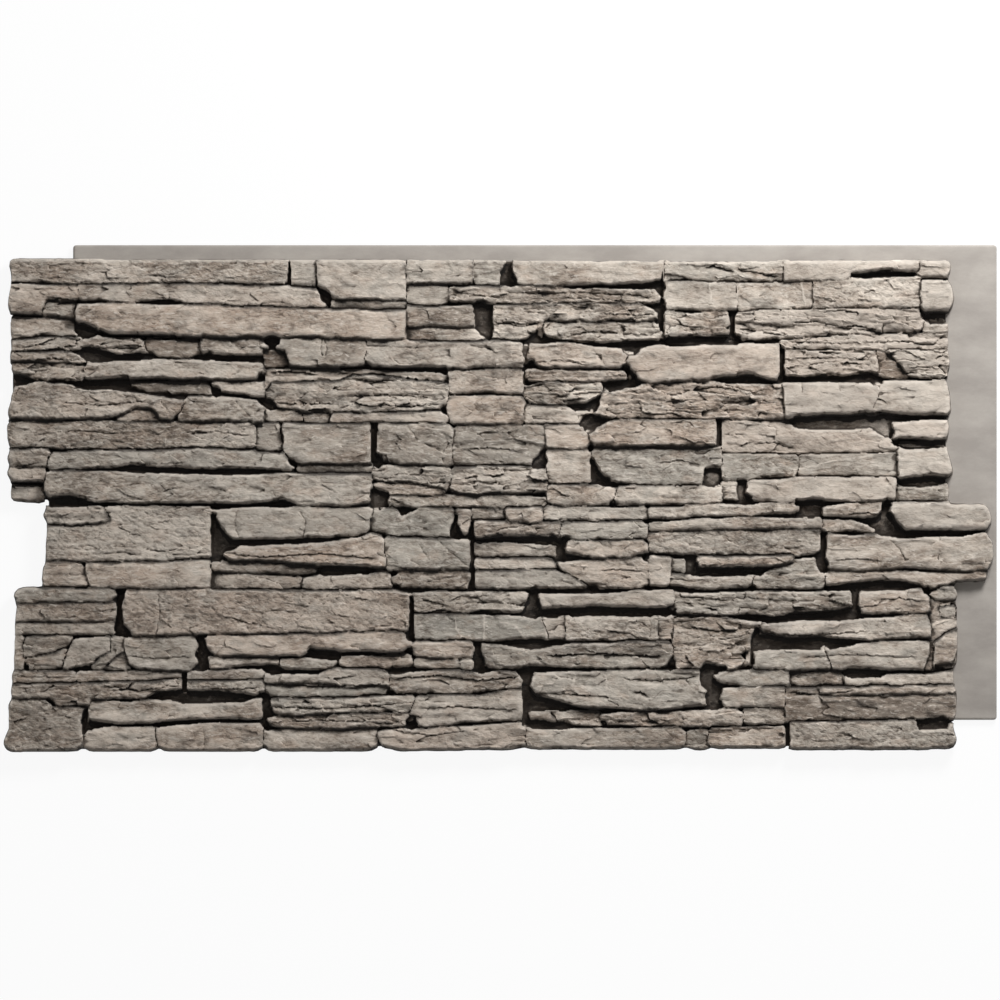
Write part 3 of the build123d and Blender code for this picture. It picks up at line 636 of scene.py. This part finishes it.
def stone_face(number, stone):
    """The stone's relief over its window, and how deep each point lies inside it."""
    window = stone["window"]
    x = X[window]
    y = Y[window]
    seed = 101 + 17 * number
    bends, breaks, layers, chips, lumps, cracks = stone["depths"]
    depth = stone["depth"]
    other = np.where(owner[window] == number, second[window], first[window])
    depth = np.minimum(np.minimum(depth + growth[window], past_rim[window]), (depth - other) / 2)
    edge_limit = EDGE_SHARE * max(stone["height"], LOWEST_STONE_MM)
    size = min(1.0, stone["height"] / FULL_STONE_MM)
    turn = math.radians(4 * picked(number, 7))
    u = x * math.cos(turn) + y * math.sin(turn)
    v = y * math.cos(turn) - x * math.sin(turn) + 1.3 * layered(x / 35, y / 25, seed + 9, 2)
    u = u + 1.5 * noise(x / 9, y / 9, seed + 8)
    face = plane_of(number, x, y)
    face = face + size * bends * layered(x / 55, y / 22, seed + 20, 2)
    face = face + size * facets(u, v, seed + 11, 34, 10, breaks, 0.2 * breaks)
    face = face + layers_across(u, v, seed + 30, 5.2 + 1.4 * picked(number, 6), layers)
    face = face + facets(u, v, seed + 13, 11, 3.6, 0.6 * chips, 0.3 * chips)
    slant = u + 1.2 * v
    face = face + lumps * layered(slant / 8, v / 4, seed + 41, 3, 0.7)
    seam = 1 - np.abs(layered(u / 45, v / 6, seed + 50, 2)) / 0.07
    where = ramp(0.0, 0.3, noise(x / 30, y / 12, seed + 51))
    face = face - size * cracks * np.clip(seam, 0, 1) * where
    face = face - np.where(depth > 0, cut[window], 0)
    rim = np.clip(1.5 + 0.8 * noise(x / 17, y / 17, seed + 17), 0.8, edge_limit)
    t = np.clip(1 - depth / rim, 0, 1)
    face = face - ROUNDING_MM * (1 - np.sqrt(np.maximum(1 - t * t, 0)))
    under = UNDER_MM + 2.2 * noise(x / 19, y / 60, seed + 21) + 1.4 * noise(x / 6, y / 9, seed + 22)
    under = np.clip(under, 0.3, edge_limit)
    face = face - UNDER_SLOPE * np.maximum(under - above_edge(depth), 0)
    nick = ramp(0.35, 0.75, noise(x / 10, y / 5, seed + 19)) * ramp(6, 1, depth)
    face = face - NICK_MM * nick
    face = np.minimum(face, high_box[2])
    return face + np.minimum(depth, 0) * WALL_SLOPE, depth


label = np.full(X.shape, -1)
for number, stone in enumerate(stones):
    window = stone["window"]
    face, depth = stone_face(number, stone)
    covers = face > relief[window]
    relief[window] = np.where(covers, face, relief[window])
    label[window] = np.where(covers & (depth > -FOOT_MM), number, label[window])
relief = np.clip(relief, OUTSIDE_MM, high_box[2])
relief[0, :] = relief[-1, :] = OUTSIDE_MM
relief[:, 0] = relief[:, -1] = OUTSIDE_MM


# Meshes
SHARP_DEGREES = 60
EDGE_SEGMENTS = 4
SKIRT_MM = 5


def new_object(name, mesh):
    obj = bpy.data.objects.new(name, mesh)
    bpy.context.scene.collection.objects.link(obj)
    return obj


def block(name, low, high):
    """A box between two corners, in millimetres."""
    (ax, ay, az), (bx, by, bz) = np.array(low) * MM, np.array(high) * MM
    vertices = [(x, y, z) for z in (az, bz) for x, y in ((ax, ay), (bx, ay), (bx, by), (ax, by))]
    walls = [(i, (i + 1) % 4, (i + 1) % 4 + 4, i + 4) for i in range(4)]
    mesh = bpy.data.meshes.new(name)
    mesh.from_pydata(vertices, [], [(3, 2, 1, 0), (4, 5, 6, 7), *walls])
    return new_object(name, mesh)


def apply_modifiers(obj):
    mesh = bpy.data.meshes.new_from_object(obj.evaluated_get(bpy.context.evaluated_depsgraph_get()))
    obj.modifiers.clear()
    obj.data = mesh


def combine(obj, other, operation):
    modifier = obj.modifiers.new("combine", "BOOLEAN")
    modifier.operation = operation
    modifier.solver = "MANIFOLD"
    modifier.object = other
    apply_modifiers(obj)
    bpy.data.objects.remove(other)


def round_edges(obj, radius_mm, wanted):
    """Round the sharp edges whose two ends are wanted."""
    bm = bmesh.new()
    bm.from_mesh(obj.data)
    sharp = [edge for edge in bm.edges if edge.calc_face_angle() > math.radians(SHARP_DEGREES)]
    sharp = [edge for edge in sharp if wanted(*(vertex.co for vertex in edge.verts))]
    bmesh.ops.bevel(
        bm, geom=sharp, offset=radius_mm * MM, segments=EDGE_SEGMENTS, profile=0.5, affect="EDGES"
    )
    bm.to_mesh(obj.data)
    bm.free()


def terrain(name):
    """The relief as a closed solid: the grid, with a skirt down to a flat base."""
    rows, columns = relief.shape
    top = np.stack([X, Y, relief], -1).reshape(-1, 3)
    index = np.arange(rows * columns).reshape(rows, columns)
    a = index[:-1, :-1].ravel()
    b = index[:-1, 1:].ravel()
    c = index[1:, 1:].ravel()
    d = index[1:, :-1].ravel()
    z = relief.ravel()
    along = (np.abs(z[a] - z[c]) < np.abs(z[b] - z[d]))[:, None]
    halves = [
        np.where(along, np.stack([a, b, c], 1), np.stack([a, b, d], 1)),
        np.where(along, np.stack([a, c, d], 1), np.stack([b, c, d], 1)),
    ]
    ring = np.concatenate([index[0, :-1], index[:-1, -1], index[-1, :0:-1], index[:0:-1, 0]])
    base = top[ring].copy()
    base[:, 2] = OUTSIDE_MM - SKIRT_MM
    lower = len(top) + np.arange(len(ring))
    skirt = [
        np.stack([ring, lower, np.roll(lower, -1)], 1),
        np.stack([ring, np.roll(lower, -1), np.roll(ring, -1)], 1),
    ]
    triangles = np.concatenate(halves + skirt)
    loops = np.concatenate([triangles.ravel(), lower[::-1]]).astype(np.int32)
    starts = np.arange(len(triangles) + 1, dtype=np.int32) * 3
    vertices = np.concatenate([top, base]) * MM
    mesh = bpy.data.meshes.new(name)
    mesh.vertices.add(len(vertices))
    mesh.vertices.foreach_set("co", vertices.ravel())
    mesh.loops.add(len(loops))
    mesh.loops.foreach_set("vertex_index", loops)
    mesh.polygons.add(len(starts))
    mesh.polygons.foreach_set("loop_start", starts)
    mesh.update(calc_edges=True)
    mesh.validate()
    return new_object(name, mesh)


def coordinates(mesh):
    co = np.zeros(len(mesh.vertices) * 3)
    mesh.vertices.foreach_get("co", co)
    return co.reshape(-1, 3) / MM


def sampled(field, at):
    """The field's value at each of these points."""
    u = np.clip((at[:, 0] - xs[0]) / GRID_MM, 0, len(xs) - 1.001)
    v = np.clip((at[:, 1] - ys[0]) / GRID_MM, 0, len(ys) - 1.001)
    i = u.astype(int)
    j = v.astype(int)
    u = u - i
    v = v - j
    low = field[j, i] * (1 - u) + field[j, i + 1] * u
    high = field[j + 1, i] * (1 - u) + field[j + 1, i + 1] * u
    return low * (1 - v) + high * v


# The board's outline is that of the flat back
ON_BACK_MM = 0.01
back = points[np.abs(points[:, 2]) < ON_BACK_MM]
board_low = back.min(0)
board_high = back.max(0)
FAR_MM = 50.0
SEAT_INSET_MM = 3.0
BOARD_CORNER_MM = 4.0
BOARD_EDGE_MM = 3.0
SEAT_BELOW_MM = 2
SEAT_ABOVE_MM = 1
SMOOTH_DEGREES = 50
panel = terrain("stone_panel")
clip = block("clip", (*(low_box[:2] - FAR_MM), LAP_LEVEL_MM), (*(high_box[:2] + FAR_MM), FAR_MM))
seat = block(
    "seat",
    (*(board_low[:2] + SEAT_INSET_MM), FLANGE_LEVEL_MM - SEAT_BELOW_MM),
    (*(board_high[:2] - SEAT_INSET_MM), LAP_LEVEL_MM + SEAT_ABOVE_MM),
)
combine(clip, seat, "UNION")
combine(panel, clip, "INTERSECT")
count = sum(len(p.vertices) - 2 for p in panel.data.polygons)
thin = panel.modifiers.new("thin", "DECIMATE")
thin.ratio = TRIANGLES / count
thin.use_collapse_triangulate = True
apply_modifiers(panel)

# Thinning must not lift a vertex off the relief round it
kept = coordinates(panel.data)
lowest = relief
highest = relief
for axis in (0, 1):
    for step in (-1, 1):
        highest = np.maximum(highest, np.roll(relief, step, axis))
        lowest = np.minimum(lowest, np.roll(relief, step, axis))
on_relief = kept[:, 2] > LAP_LEVEL_MM + CRACK_MM
floor_levels = sampled(lowest, kept[on_relief])
roof_levels = sampled(highest, kept[on_relief])
kept[on_relief, 2] = np.clip(kept[on_relief, 2], floor_levels, roof_levels)
kept[:, :2] = np.clip(kept[:, :2], low_box[:2], high_box[:2])
kept[:, 2] = np.clip(kept[:, 2], FLANGE_LEVEL_MM - SEAT_BELOW_MM, high_box[2])
panel.data.vertices.foreach_set("co", (kept * MM).ravel())
panel.data.update()
board = block("board", (*board_low[:2], 0), (*board_high[:2], FLANGE_LEVEL_MM))
round_edges(board, BOARD_CORNER_MM, lambda a, b: abs(a.z - b.z) > MM)
round_edges(board, BOARD_EDGE_MM, lambda a, b: min(a.z, b.z) > FLANGE_LEVEL_MM * MM / 2)
combine(panel, board, "UNION")
mesh = panel.data
mesh.polygons.foreach_set("use_smooth", [True] * len(mesh.polygons))
mesh.set_sharp_from_angle(angle=math.radians(SMOOTH_DEGREES))

# Attributes that the paint goes by
co = coordinates(mesh)


def add_attribute(name, values):
    attribute = mesh.attributes.new(name, "FLOAT", "POINT")
    attribute.data.foreach_set("value", values.astype(np.float32))


def add_field(name, field):
    """An attribute that takes the field's value at each vertex of the panel."""
    add_attribute(name, sampled(field, co))


def raised_above(ground, steps, fall):
    """How far the ground rises within a few steps up the panel."""
    most = np.zeros(ground.shape)
    for step in range(1, steps + 1):
        most[:-step] = np.maximum(most[:-step], ground[step:] - ground[:-step] - fall * step)
    return most


def painted_light_upper_right(x, y):
    """From 0 to 1, how much painted light the panel gets towards its upper right, where the light falls
    brighter and flatter: lighter stone tones and less dark in the hollows and joints.
    """
    return ramp(100, 350, x) * ramp(-60, 20, y)


SEAM_HALF_MM = 2.7
SEAM_UPRIGHT = 0.75
SEAM_LEAST_MM = 0.5
SEAM_GAIN = 1.6
HOLLOW_BLUR_MM = 8.0
CREST_BLUR_MM = 1.5
BARE_RISE_MM = 1.5
BARE_GAIN = 1.1
# Painted light: how much less dark the hollows and joints get towards the upper right
HOLLOW_PAINTED_LIGHT = 0.3
SEAM_PAINTED_LIGHT = 0.6
# Painted shadow below proud edges: how many steps up the panel it looks, and how fast it falls off
SHADOW_STEPS = 5
SHADOW_FALL_MM = 0.9
FLANGE_BAND_MM = 0.3
ground = np.maximum(relief, FLANGE_LEVEL_MM)
bare = np.where(on_bed, BED_LEVEL_MM + BARE_RISE_MM - ground, 0)
# Dark wash in the hollows and on the bare bed, which is also painted shade for the light they lose
hollow = np.maximum(blurred(ground, HOLLOW_BLUR_MM) - ground, BARE_GAIN * bare)
add_field("hollow", hollow * (1 - HOLLOW_PAINTED_LIGHT * painted_light_upper_right(X, Y)))
# Painted shadow: how far the ground rises within a few steps up the panel, as the shadow that proud edges
# cast down it
add_field("painted_shadow", raised_above(ground, SHADOW_STEPS, SHADOW_FALL_MM))
# Dark paint along the joints: partly a dark joint, partly painted shade under the upper stone, so it is
# broadest in the level joints and less towards the upper right
joint_half = SEAM_HALF_MM * (1 - SEAM_UPRIGHT * upright) * (1 + 1.1 * noise(X / 28, Y / 12, 91))
seam = np.clip(SEAM_GAIN * (1 - (first - second) / 2 / np.maximum(joint_half, SEAM_LEAST_MM)), 0, 1)
add_field("seam", seam * (1 - SEAM_PAINTED_LIGHT * painted_light_upper_right(X, Y)))
# Height above the ground round about: creases get a dark wash that is also painted shade, ridges a
# dry-brushed coat that is also a painted highlight
add_field("crest", ground - blurred(ground, CREST_BLUR_MM))
add_field("vein", np.maximum(-cut, 0) / VEIN_HEIGHT_MM)
# Slope up the panel: faces that look down it get painted shade, faces that look up it a painted highlight
add_field("under", np.gradient(blurred(ground, GRID_MM), GRID_MM, axis=0))
COOL_SPREAD = 0.8
PALE_SPREAD = 0.5
PALE_PAINTED_LIGHT = 0.45
for number, stone in enumerate(stones):
    # Painted light: stones towards the upper right get a lighter tone, for the brighter, flatter light there
    pale = PALE_SPREAD * picked(number, 98) + PALE_PAINTED_LIGHT * painted_light_upper_right(*stone["middle"][:2])
    stone["tint"] = (COOL_SPREAD * picked(number, 99), pale)
for mark, *tint in TINTS:
    stone_at(mark)["tint"] = tint
tints = np.array([(*stone["tint"], stone["grit"]) for stone in stones] + [(0.0, 0.0, 0.0)])
for column, name in enumerate(("cool", "pale", "grit")):
    add_field(name, blurred(tints[label, column], GRID_MM))
low_down = co[:, 2] < FLANGE_LEVEL_MM + FLANGE_BAND_MM
add_attribute("flange", (low_down & (sampled(body, co) < 0.5)).astype(float))


# Paint
def srgb(r, g, b):
    return (*[((c / 255 + 0.055) / 1.055) ** 2.4 for c in (r, g, b)], 1.0)


class Paint:
    """A material's or world's node tree, filled by short calls that hand back sockets."""

    def __init__(self, tree):
        self.tree = tree
        tree.nodes.clear()

    def put(self, kind, settings=None, **inputs):
        made = self.tree.nodes.new(kind)
        for name, value in (settings or {}).items():
            setattr(made, name, value)
        for name, value in inputs.items():
            self.feed(made.inputs[name.replace("_", " ")], value)
        return made

    def feed(self, socket, value):
        if isinstance(value, bpy.types.NodeSocket):
            self.tree.links.new(value, socket)
        else:
            socket.default_value = value

    def blend(self, a, b, factor):
        made = self.put("ShaderNodeMix", {"data_type": "RGBA"})
        for number, value in ((6, a), (7, b), (0, factor)):
            self.feed(made.inputs[number], value)
        return made.outputs[2]

    def maths(self, operation, *values):
        made = self.put("ShaderNodeMath", {"operation": operation})
        for socket, value in zip(made.inputs, values):
            self.feed(socket, value)
        return made.outputs[0]

    def remap(self, value, low, high, to_low=0.0, to_high=1.0):
        made = self.put(
            "ShaderNodeMapRange", Value=value, From_Min=low, From_Max=high, To_Min=to_low, To_Max=to_high
        )
        return made.outputs["Result"]

    def coat(self, under, rgb, value, low, high, most):
        """A coat of one colour over another, up to most of it as value goes from low to high."""
        return self.blend(under, srgb(*rgb), self.remap(value, low, high, 0, most))

    def attribute(self, name):
        return self.put("ShaderNodeAttribute", {"attribute_name": name}).outputs["Fac"]

    def place(self, turn, stretch):
        """Object coordinates, for a pattern drawn out by stretch along the direction turn."""
        place = self.put("ShaderNodeTexCoord").outputs["Object"]
        rotation = (0, 0, math.radians(turn))
        made = self.put(
            "ShaderNodeMapping",
            {"vector_type": "TEXTURE"},
            Vector=place,
            Scale=(stretch, 1, 1),
            Rotation=rotation,
        )
        return made.outputs["Vector"]

    def grain(self, turn, stretch, scale, detail, rough, distort=0.0):
        made = self.put(
            "ShaderNodeTexNoise",
            Vector=self.place(turn, stretch),
            Scale=scale,
            Detail=detail,
            Roughness=rough,
            Distortion=distort,
        )
        return made.outputs["Fac"]

    def chips(self, turn, stretch, scale, lean):
        """Height of broken facets, each with its own level and slope."""
        vector = self.place(turn, stretch)
        bend = self.put("ShaderNodeVectorMath", {"operation": "SCALE"}, Scale=0.8 / scale)
        waves = self.put("ShaderNodeTexNoise", Vector=vector, Scale=scale * 0.7, Detail=2.0).outputs["Color"]
        self.feed(bend.inputs[0], waves)
        moved = self.put("ShaderNodeVectorMath", {"operation": "ADD"})
        self.feed(moved.inputs[0], vector)
        self.feed(moved.inputs[1], bend.outputs[0])
        cell = self.put("ShaderNodeTexVoronoi", Vector=moved.outputs[0], Scale=scale)
        away = self.put("ShaderNodeVectorMath", {"operation": "SUBTRACT"})
        self.feed(away.inputs[0], moved.outputs[0])
        self.feed(away.inputs[1], cell.outputs["Position"])
        slope = self.put("ShaderNodeVectorMath", {"operation": "SUBTRACT"})
        self.feed(slope.inputs[0], cell.outputs["Color"])
        slope.inputs[1].default_value = (0.5, 0.5, 0.5)
        tilt = self.put("ShaderNodeVectorMath", {"operation": "DOT_PRODUCT"})
        self.feed(tilt.inputs[0], away.outputs[0])
        self.feed(tilt.inputs[1], slope.outputs[0])
        level = self.put("ShaderNodeSeparateColor", Color=cell.outputs["Color"]).outputs[0]
        return self.maths("ADD", self.maths("MULTIPLY", tilt.outputs["Value"], lean * scale), level)


def new_material(name):
    material = bpy.data.materials.new(name)
    material.use_nodes = True
    return material, Paint(material.node_tree)


BUMP_DEPTH = 0.0014


def painted_stone():
    """Bare tones, dirt in patches, a dark wash in the hollows and joints that is partly painted shade,
    painted highlights on the arrises and on faces that look up the panel, painted shade on faces that look
    down it, and painted shadow below proud edges.
    """
    material, paint = new_material("painted_stone")
    streak = paint.grain(2, 3.0, 300, 6, 0.68, 0.6)
    stroke = paint.grain(-32, 2.6, 260, 5, 0.7, 0.4)
    speckle = paint.grain(0, 1.0, 900, 3, 0.7)
    mottle = paint.grain(0, 1.8, 95, 4, 0.6)
    patch = paint.grain(0, 2.0, 24, 5, 0.65)
    hue = paint.grain(0, 1.5, 48, 3, 0.6)
    broad = paint.chips(4, 2.6, 150, 1.1)
    hollow = paint.attribute("hollow")
    painted_shadow = paint.attribute("painted_shadow")
    crest = paint.attribute("crest")
    under = paint.attribute("under")
    seam = paint.attribute("seam")
    cool = paint.attribute("cool")
    pale = paint.attribute("pale")
    grit = paint.attribute("grit")
    vein = paint.attribute("vein")
    flange = paint.attribute("flange")

    dirty = paint.remap(paint.maths("MULTIPLY_ADD", grit, -0.1, patch), 0.55, 0.38, 0.25, 1.0)
    dirty = paint.maths("MULTIPLY", dirty, paint.remap(pale, 0.1, 0.9, 1.0, 0.35))
    bright = paint.remap(streak, 0.53, 0.66, 0, 0.62)
    bright = paint.maths("MULTIPLY", bright, paint.remap(pale, 0.0, 0.9, 1.0, 0.25))
    stone = paint.blend(srgb(159, 146, 133), srgb(206, 195, 182), paint.remap(patch, 0.4, 0.58))
    tones = (
        ((150, 146, 137), cool, 0.1, 1.0, 0.75),
        ((178, 157, 140), cool, -0.1, -1.0, 0.55),
        ((172, 149, 131), hue, 0.54, 0.68, 0.4),
        ((152, 148, 140), hue, 0.46, 0.34, 0.45),
        ((184, 174, 163), pale, 0.1, 1.0, 0.7),
        ((94, 82, 71), pale, -0.1, -1.0, 0.7),
    )
    for tone in tones:
        stone = paint.coat(stone, *tone)
    stains = (
        ((84, 72, 62), mottle, 0.34, 0.75),
        ((86, 74, 64), stroke, 0.34, 0.9),
        ((86, 74, 64), streak, 0.35, 0.9),
    )
    for rgb, pattern, full, most in stains:
        stained = paint.maths("MULTIPLY", dirty, paint.remap(pattern, 0.47, full, 0, most))
        stone = paint.blend(stone, srgb(*rgb), stained)
    stone = paint.blend(stone, srgb(222, 213, 202), bright)
    # Painted highlight on faces that look up the panel, painted shade on those that look down it
    edges = (
        ((218, 209, 198), under, -0.3, -1.2, 0.35),
        ((58, 48, 40), under, 0.3, 1.1, 0.85),
        # Dark wash and painted shade in creases; dry-brush and painted highlight on ridges
        ((56, 46, 38), crest, -0.2, -0.9, 0.78),
        ((218, 209, 198), crest, 0.3, 1.0, 0.2),
        ((206, 196, 184), vein, 0.1, 0.7, 0.7),
    )
    for edge in edges:
        stone = paint.coat(stone, *edge)
    # Dark wash in the hollows, partly painted shade
    wash_and_painted_shade = paint.maths("ADD", hollow, paint.remap(speckle, 0.3, 0.7, -0.5, 0.5))
    stone = paint.coat(stone, (38, 31, 25), wash_and_painted_shade, 1.2, 4.2, 0.92)
    # Painted shadow, near black, below the proud edges
    shade = paint.maths("ADD", painted_shadow, paint.remap(stroke, 0.35, 0.65, -0.7, 0.7))
    stone = paint.coat(stone, (15, 11, 8), shade, 0.8, 3.0, 0.97)
    # Dark joints, partly painted shade
    joint = paint.maths("ADD", seam, paint.remap(speckle, 0.3, 0.7, -0.2, 0.2))
    stone = paint.coat(stone, (20, 15, 11), joint, 0.2, 1.0, 0.86)
    plain = paint.blend(srgb(147, 141, 135), srgb(166, 160, 153), paint.remap(patch, 0.35, 0.65))
    plain = paint.coat(plain, (132, 125, 118), speckle, 0.6, 0.75, 0.3)
    color = paint.blend(stone, plain, flange)

    height = paint.maths("MULTIPLY_ADD", stroke, paint.remap(grit, 0, 1, 0.6, 2.2), streak)
    height = paint.maths("MULTIPLY_ADD", speckle, 0.35, height)
    height = paint.maths("MULTIPLY_ADD", broad, paint.remap(grit, 0, 1, 0.25, 0.7), height)
    strength = paint.remap(flange, 0, 1, 0.95, 0.08)
    bump = paint.put("ShaderNodeBump", Distance=BUMP_DEPTH, Strength=strength, Height=height)
    shader = paint.put(
        "ShaderNodeBsdfPrincipled",
        Base_Color=color,
        Roughness=paint.remap(streak, 0.3, 0.7, 0.72, 0.92),
        Specular_IOR_Level=0.25,
        Normal=bump.outputs["Normal"],
    )
    paint.put("ShaderNodeOutputMaterial", Surface=shader.outputs["BSDF"])
    return material


mesh.materials.clear()
mesh.materials.append(painted_stone())
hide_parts(NODE)
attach(panel, "root")


# White floor: it keeps part of the shadow
def seen_or_mirrored(paint):
    """1 for rays that show a thing to the eye, 0 for those that light it."""
    rays = paint.put("ShaderNodeLightPath").outputs
    seen = paint.maths("MAXIMUM", rays["Is Camera Ray"], rays["Is Glossy Ray"])
    return paint.maths("MAXIMUM", seen, rays["Is Transmission Ray"])


FLOOR_HALF = 4.0
WHITENED = 0.92
FLOOR_TONE = (0.93, 0.93, 0.93, 1)
WHITE = (1, 1, 1, 1)
floor_corners = [(x * FLOOR_HALF, y * FLOOR_HALF, 0) for x, y in ((-1, -1), (1, -1), (1, 1), (-1, 1))]
floor_mesh = bpy.data.meshes.new("floor")
floor_mesh.from_pydata(floor_corners, [], [(0, 1, 2, 3)])
floor = new_object("floor", floor_mesh)
floor_material, paint = new_material("white_floor")
lit = paint.put("ShaderNodeBsdfPrincipled", Base_Color=FLOOR_TONE, Roughness=0.9, Specular_IOR_Level=0.1)
white = paint.put("ShaderNodeEmission", Color=WHITE, Strength=1.0)
mixed = paint.put("ShaderNodeMixShader", Fac=paint.maths("MULTIPLY", seen_or_mirrored(paint), WHITENED))
paint.feed(mixed.inputs[1], lit.outputs["BSDF"])
paint.feed(mixed.inputs[2], white.outputs["Emission"])
paint.put("ShaderNodeOutputMaterial", Surface=mixed.outputs["Shader"])
floor_mesh.materials.append(floor_material)

# Light: a soft lamp beyond the upper right, and an even fill. Together they give the middle of the
# panel the level at which a colour renders as it is written.
FILL = 0.3
KEY_PLACE = (0.95, 1.45, 1.35)
KEY_SIZE = 0.65
world = bpy.data.worlds.new("studio")
world.use_nodes = True
paint = Paint(world.node_tree)
sky_level = paint.remap(seen_or_mirrored(paint), 0, 1, FILL, 1)
sky = paint.put("ShaderNodeBackground", Color=WHITE, Strength=sky_level)
paint.put("ShaderNodeOutputWorld", Surface=sky.outputs["Background"])
bpy.context.scene.world = world
key = bpy.data.objects.new("key", bpy.data.lights.new("key", "AREA"))
away = math.dist(KEY_PLACE, (0, 0, 0))
key.data.size = KEY_SIZE
key.data.energy = math.pi**2 * (1 - FILL) * away**3 / KEY_PLACE[2]
key.location = KEY_PLACE
key.rotation_euler = key.location.to_track_quat("Z", "Y").to_euler()
bpy.context.scene.collection.objects.link(key)

# Camera, straight above
LENS = 200.0
SENSOR = 36.0
VIEW_WIDTH = 1.25
CAMERA_Y = -0.0019
STONE_TOPS = 0.024
CLIP_END = 50
camera = bpy.data.objects.new("camera", bpy.data.cameras.new("camera"))
camera.data.lens = LENS
camera.data.sensor_width = SENSOR
camera.data.clip_end = CLIP_END
camera.location = (0.0, CAMERA_Y, VIEW_WIDTH * LENS / SENSOR + STONE_TOPS)
bpy.context.scene.collection.objects.link(camera)
bpy.context.scene.camera = camera
bpy.context.scene.view_settings.view_transform = "Standard"
